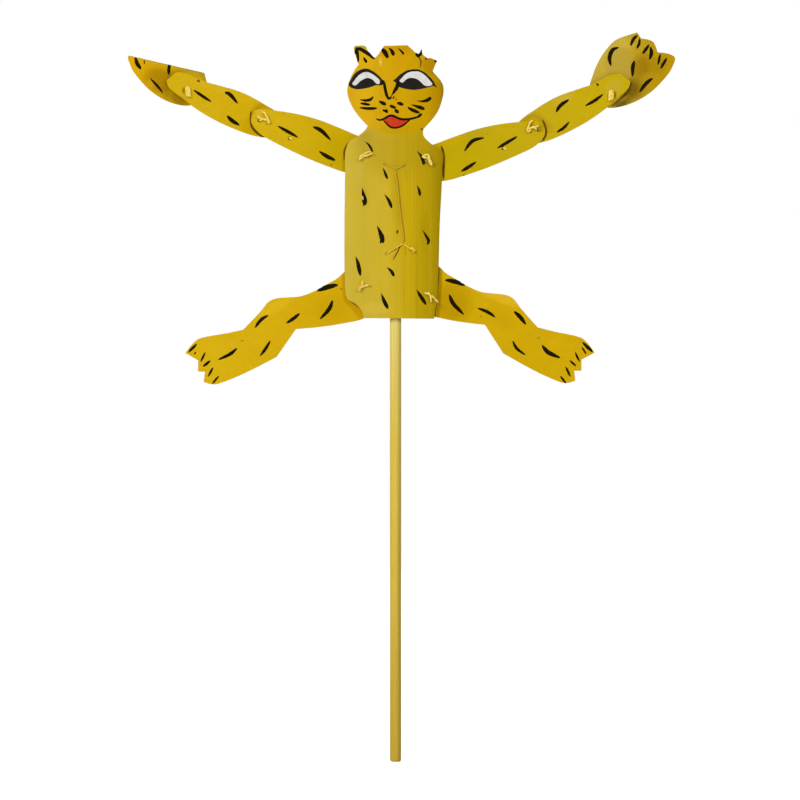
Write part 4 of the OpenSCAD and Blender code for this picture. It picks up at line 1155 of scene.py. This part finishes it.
# Painted shadows beside the threads, and painted shade in their holes round them
thread_shadow_paths = [(((1, 531), (3.1, 516.4), (5.4, 492.7), (8.2, 472), (8, 467.6)), 0.9, 0.3),
          (((0.9, 532.7), (3.6, 533.9), (6.2, 535.2), (7.4, 536.2)), 0.9, 0.7),
          (((-6.9, 536.6), (-3.6, 535.6), (-1.4, 534)), 0.7, 0.7),
          (((6.4, 464.7), (2, 461.6), (-5, 458.1)), 0.9, 0.7),
          (((8.7, 463.6), (8.9, 455.4)), 0.7, 0.7), (((-6.8, 458.9), (-7.4, 457.2)), 0.8, 0.7),
          (((-8.9, 457), (-9.2, 455.4)), 0.7, 0.7)]
thread_shadow_film = bmesh.new()
for path, width, point in thread_shadow_paths:
    brush_touch(thread_shadow_film, path, width, point=point)
for x, z in (upper_left, upper_right, lower_left, lower_right):
    brush_touch(thread_shadow_film, ((x - 1.3, z), (x + 1.3, z)), 2.6, point=1, rounds=20)
finish_film("thread_shadow_film", thread_shadow_film,
            plain_paint("painted_shadow_olive", (168, 136, 6), (152, 120, 2), 0.5), *on_torso, thick=0.04)

# Stick: a peeled, whittled round stick, left bare, with long pale and dark
# streaks of its grain and a cut end. Its shades run from the lower end up, each
# with its share of the first 400 mm.
stick_shades = [(0, (216, 178, 52)), (0.4, (228, 194, 66)), (0.72, (234, 204, 74)),
                (0.86, (240, 211, 99)), (1, (243, 220, 114))]
shades_top, body_foot = 400 * MM, 397.4 * MM


def make_stick_wood():
    """Paler towards the top and browner towards the end that is held. Painted shade darkens
    the right side of the round stick, and a band of painted shadow lies just under the
    body's lower edge."""
    material, tree, place = new_material("peeled_stick")
    grain = noisy(tree, place, (420, 420, 7), 5.0, 0.6)
    streak = noisy(tree, place, (170, 170, 3), 2.0)
    along = wire(tree, "ShaderNodeSeparateXYZ", {0: place}).outputs
    from_body_foot = maths(tree, "ABSOLUTE", maths(tree, "SUBTRACT", along["Z"], body_foot))
    light = spread(tree, grain, 0.3, 0.7, 0.76, 1.0)
    for share in (spread(tree, streak, 0.52, 0.7, 1.0, 0.84),
                  spread(tree, along["X"], 0.5 * MM, 4.2 * MM, 1.0, 0.74, smooth=True),
                  spread(tree, from_body_foot, 0, 3.4 * MM, 0.6, 1.0, smooth=True)):
        light = maths(tree, "MULTIPLY", light, share)
    wood = shaded(tree, along["Z"], 0, shades_top, stick_shades)
    toned = wire(tree, "ShaderNodeVectorMath", {0: wood, 3: light}, operation="SCALE")
    coat(tree, toned.outputs[0], spread(tree, grain, 0.3, 0.7, 0.5, 0.66), grain, specular=0.3,
         strength=0.4, depth=0.5)
    return material


dress("stick", make_stick_wood())


# Floor and light: a white floor under the stick's end, two near lamps at the left
# and right above the camera for the cards' soft shadows, a wide pale fill, and one
# behind for the cards' backs.
def shown_white(tree):
    """1 for the rays that show the room, and 0 for those that light the object."""
    ray = wire(tree, "ShaderNodeLightPath").outputs
    seen = maths(tree, "MAXIMUM", ray["Is Camera Ray"], ray["Is Glossy Ray"])
    return maths(tree, "MAXIMUM", seen, ray["Is Transmission Ray"])


def make_white_floor():
    """White sheet. Far out, where the lamps don't reach, it glows as the backdrop does."""
    material, tree, place = new_material("white_floor")
    tree.nodes.remove(tree.nodes["Principled BSDF"])
    sheet = wire(tree, "ShaderNodeBsdfDiffuse", {"Color": (0.8, 0.8, 0.8, 1)})
    far = wire(tree, "ShaderNodeVectorMath", {0: place}, operation="LENGTH").outputs["Value"]
    glowing = spread(tree, far, 0.8, 3.5, to_low=0.6, to_high=0.9, smooth=True)
    glow = wire(tree, "ShaderNodeEmission", {
        "Color": (1, 1, 1, 1), "Strength": maths(tree, "MULTIPLY", shown_white(tree), glowing)})
    both = wire(tree, "ShaderNodeAddShader", {0: sheet.outputs[0], 1: glow.outputs[0]})
    tree.links.new(both.outputs[0], tree.nodes["Material Output"].inputs["Surface"])
    return material


floor_mesh = bmesh.new()
bmesh.ops.create_grid(floor_mesh, x_segments=1, y_segments=1, size=6)
bmesh.ops.translate(floor_mesh, verts=floor_mesh.verts[:], vec=(0, 0, -0.5 * MM))
floor_data = bpy.data.meshes.new("floor")
floor_mesh.to_mesh(floor_data)
floor_mesh.free()
floor = add_object("floor", floor_data, make_white_floor())


def hang_lamp(name, spot, aim_z, size, watts):
    """A square lamp that points at the stick's line, aim_z above the floor, in metres."""
    data = bpy.data.lights.new(name, "AREA")
    data.size = size
    data.energy = watts
    lamp = add_object(name, data)
    lamp.location = spot
    lamp.rotation_euler = (Vector((0, 0, aim_z)) - Vector(spot)).to_track_quat("-Z", "Y").to_euler()
    lamp.visible_camera = False


hang_lamp("key", (-1.6, -2.1, 2.0), aim_z=0.45, size=0.55, watts=46)
hang_lamp("second", (1.5, -2.1, 1.9), aim_z=0.45, size=0.55, watts=26)
hang_lamp("fill", (0.3, -3.4, 1.0), aim_z=0.4, size=2.0, watts=7)
hang_lamp("back", (-0.8, 2.8, 1.7), aim_z=0.45, size=1.2, watts=60)

# The room's own light on the object is low, while it is seen as plain white
room_light = 0.16
world = bpy.data.worlds.new("room")
world.use_nodes = True
bpy.context.scene.world = world
sky = world.node_tree
backdrop = sky.nodes["Background"]
backdrop.inputs["Color"].default_value = (1, 1, 1, 1)
sky.links.new(maths(sky, "MULTIPLY_ADD", shown_white(sky), 1 - room_light, room_light),
              backdrop.inputs["Strength"])

# Plain colours
bpy.context.scene.view_settings.view_transform = "Standard"
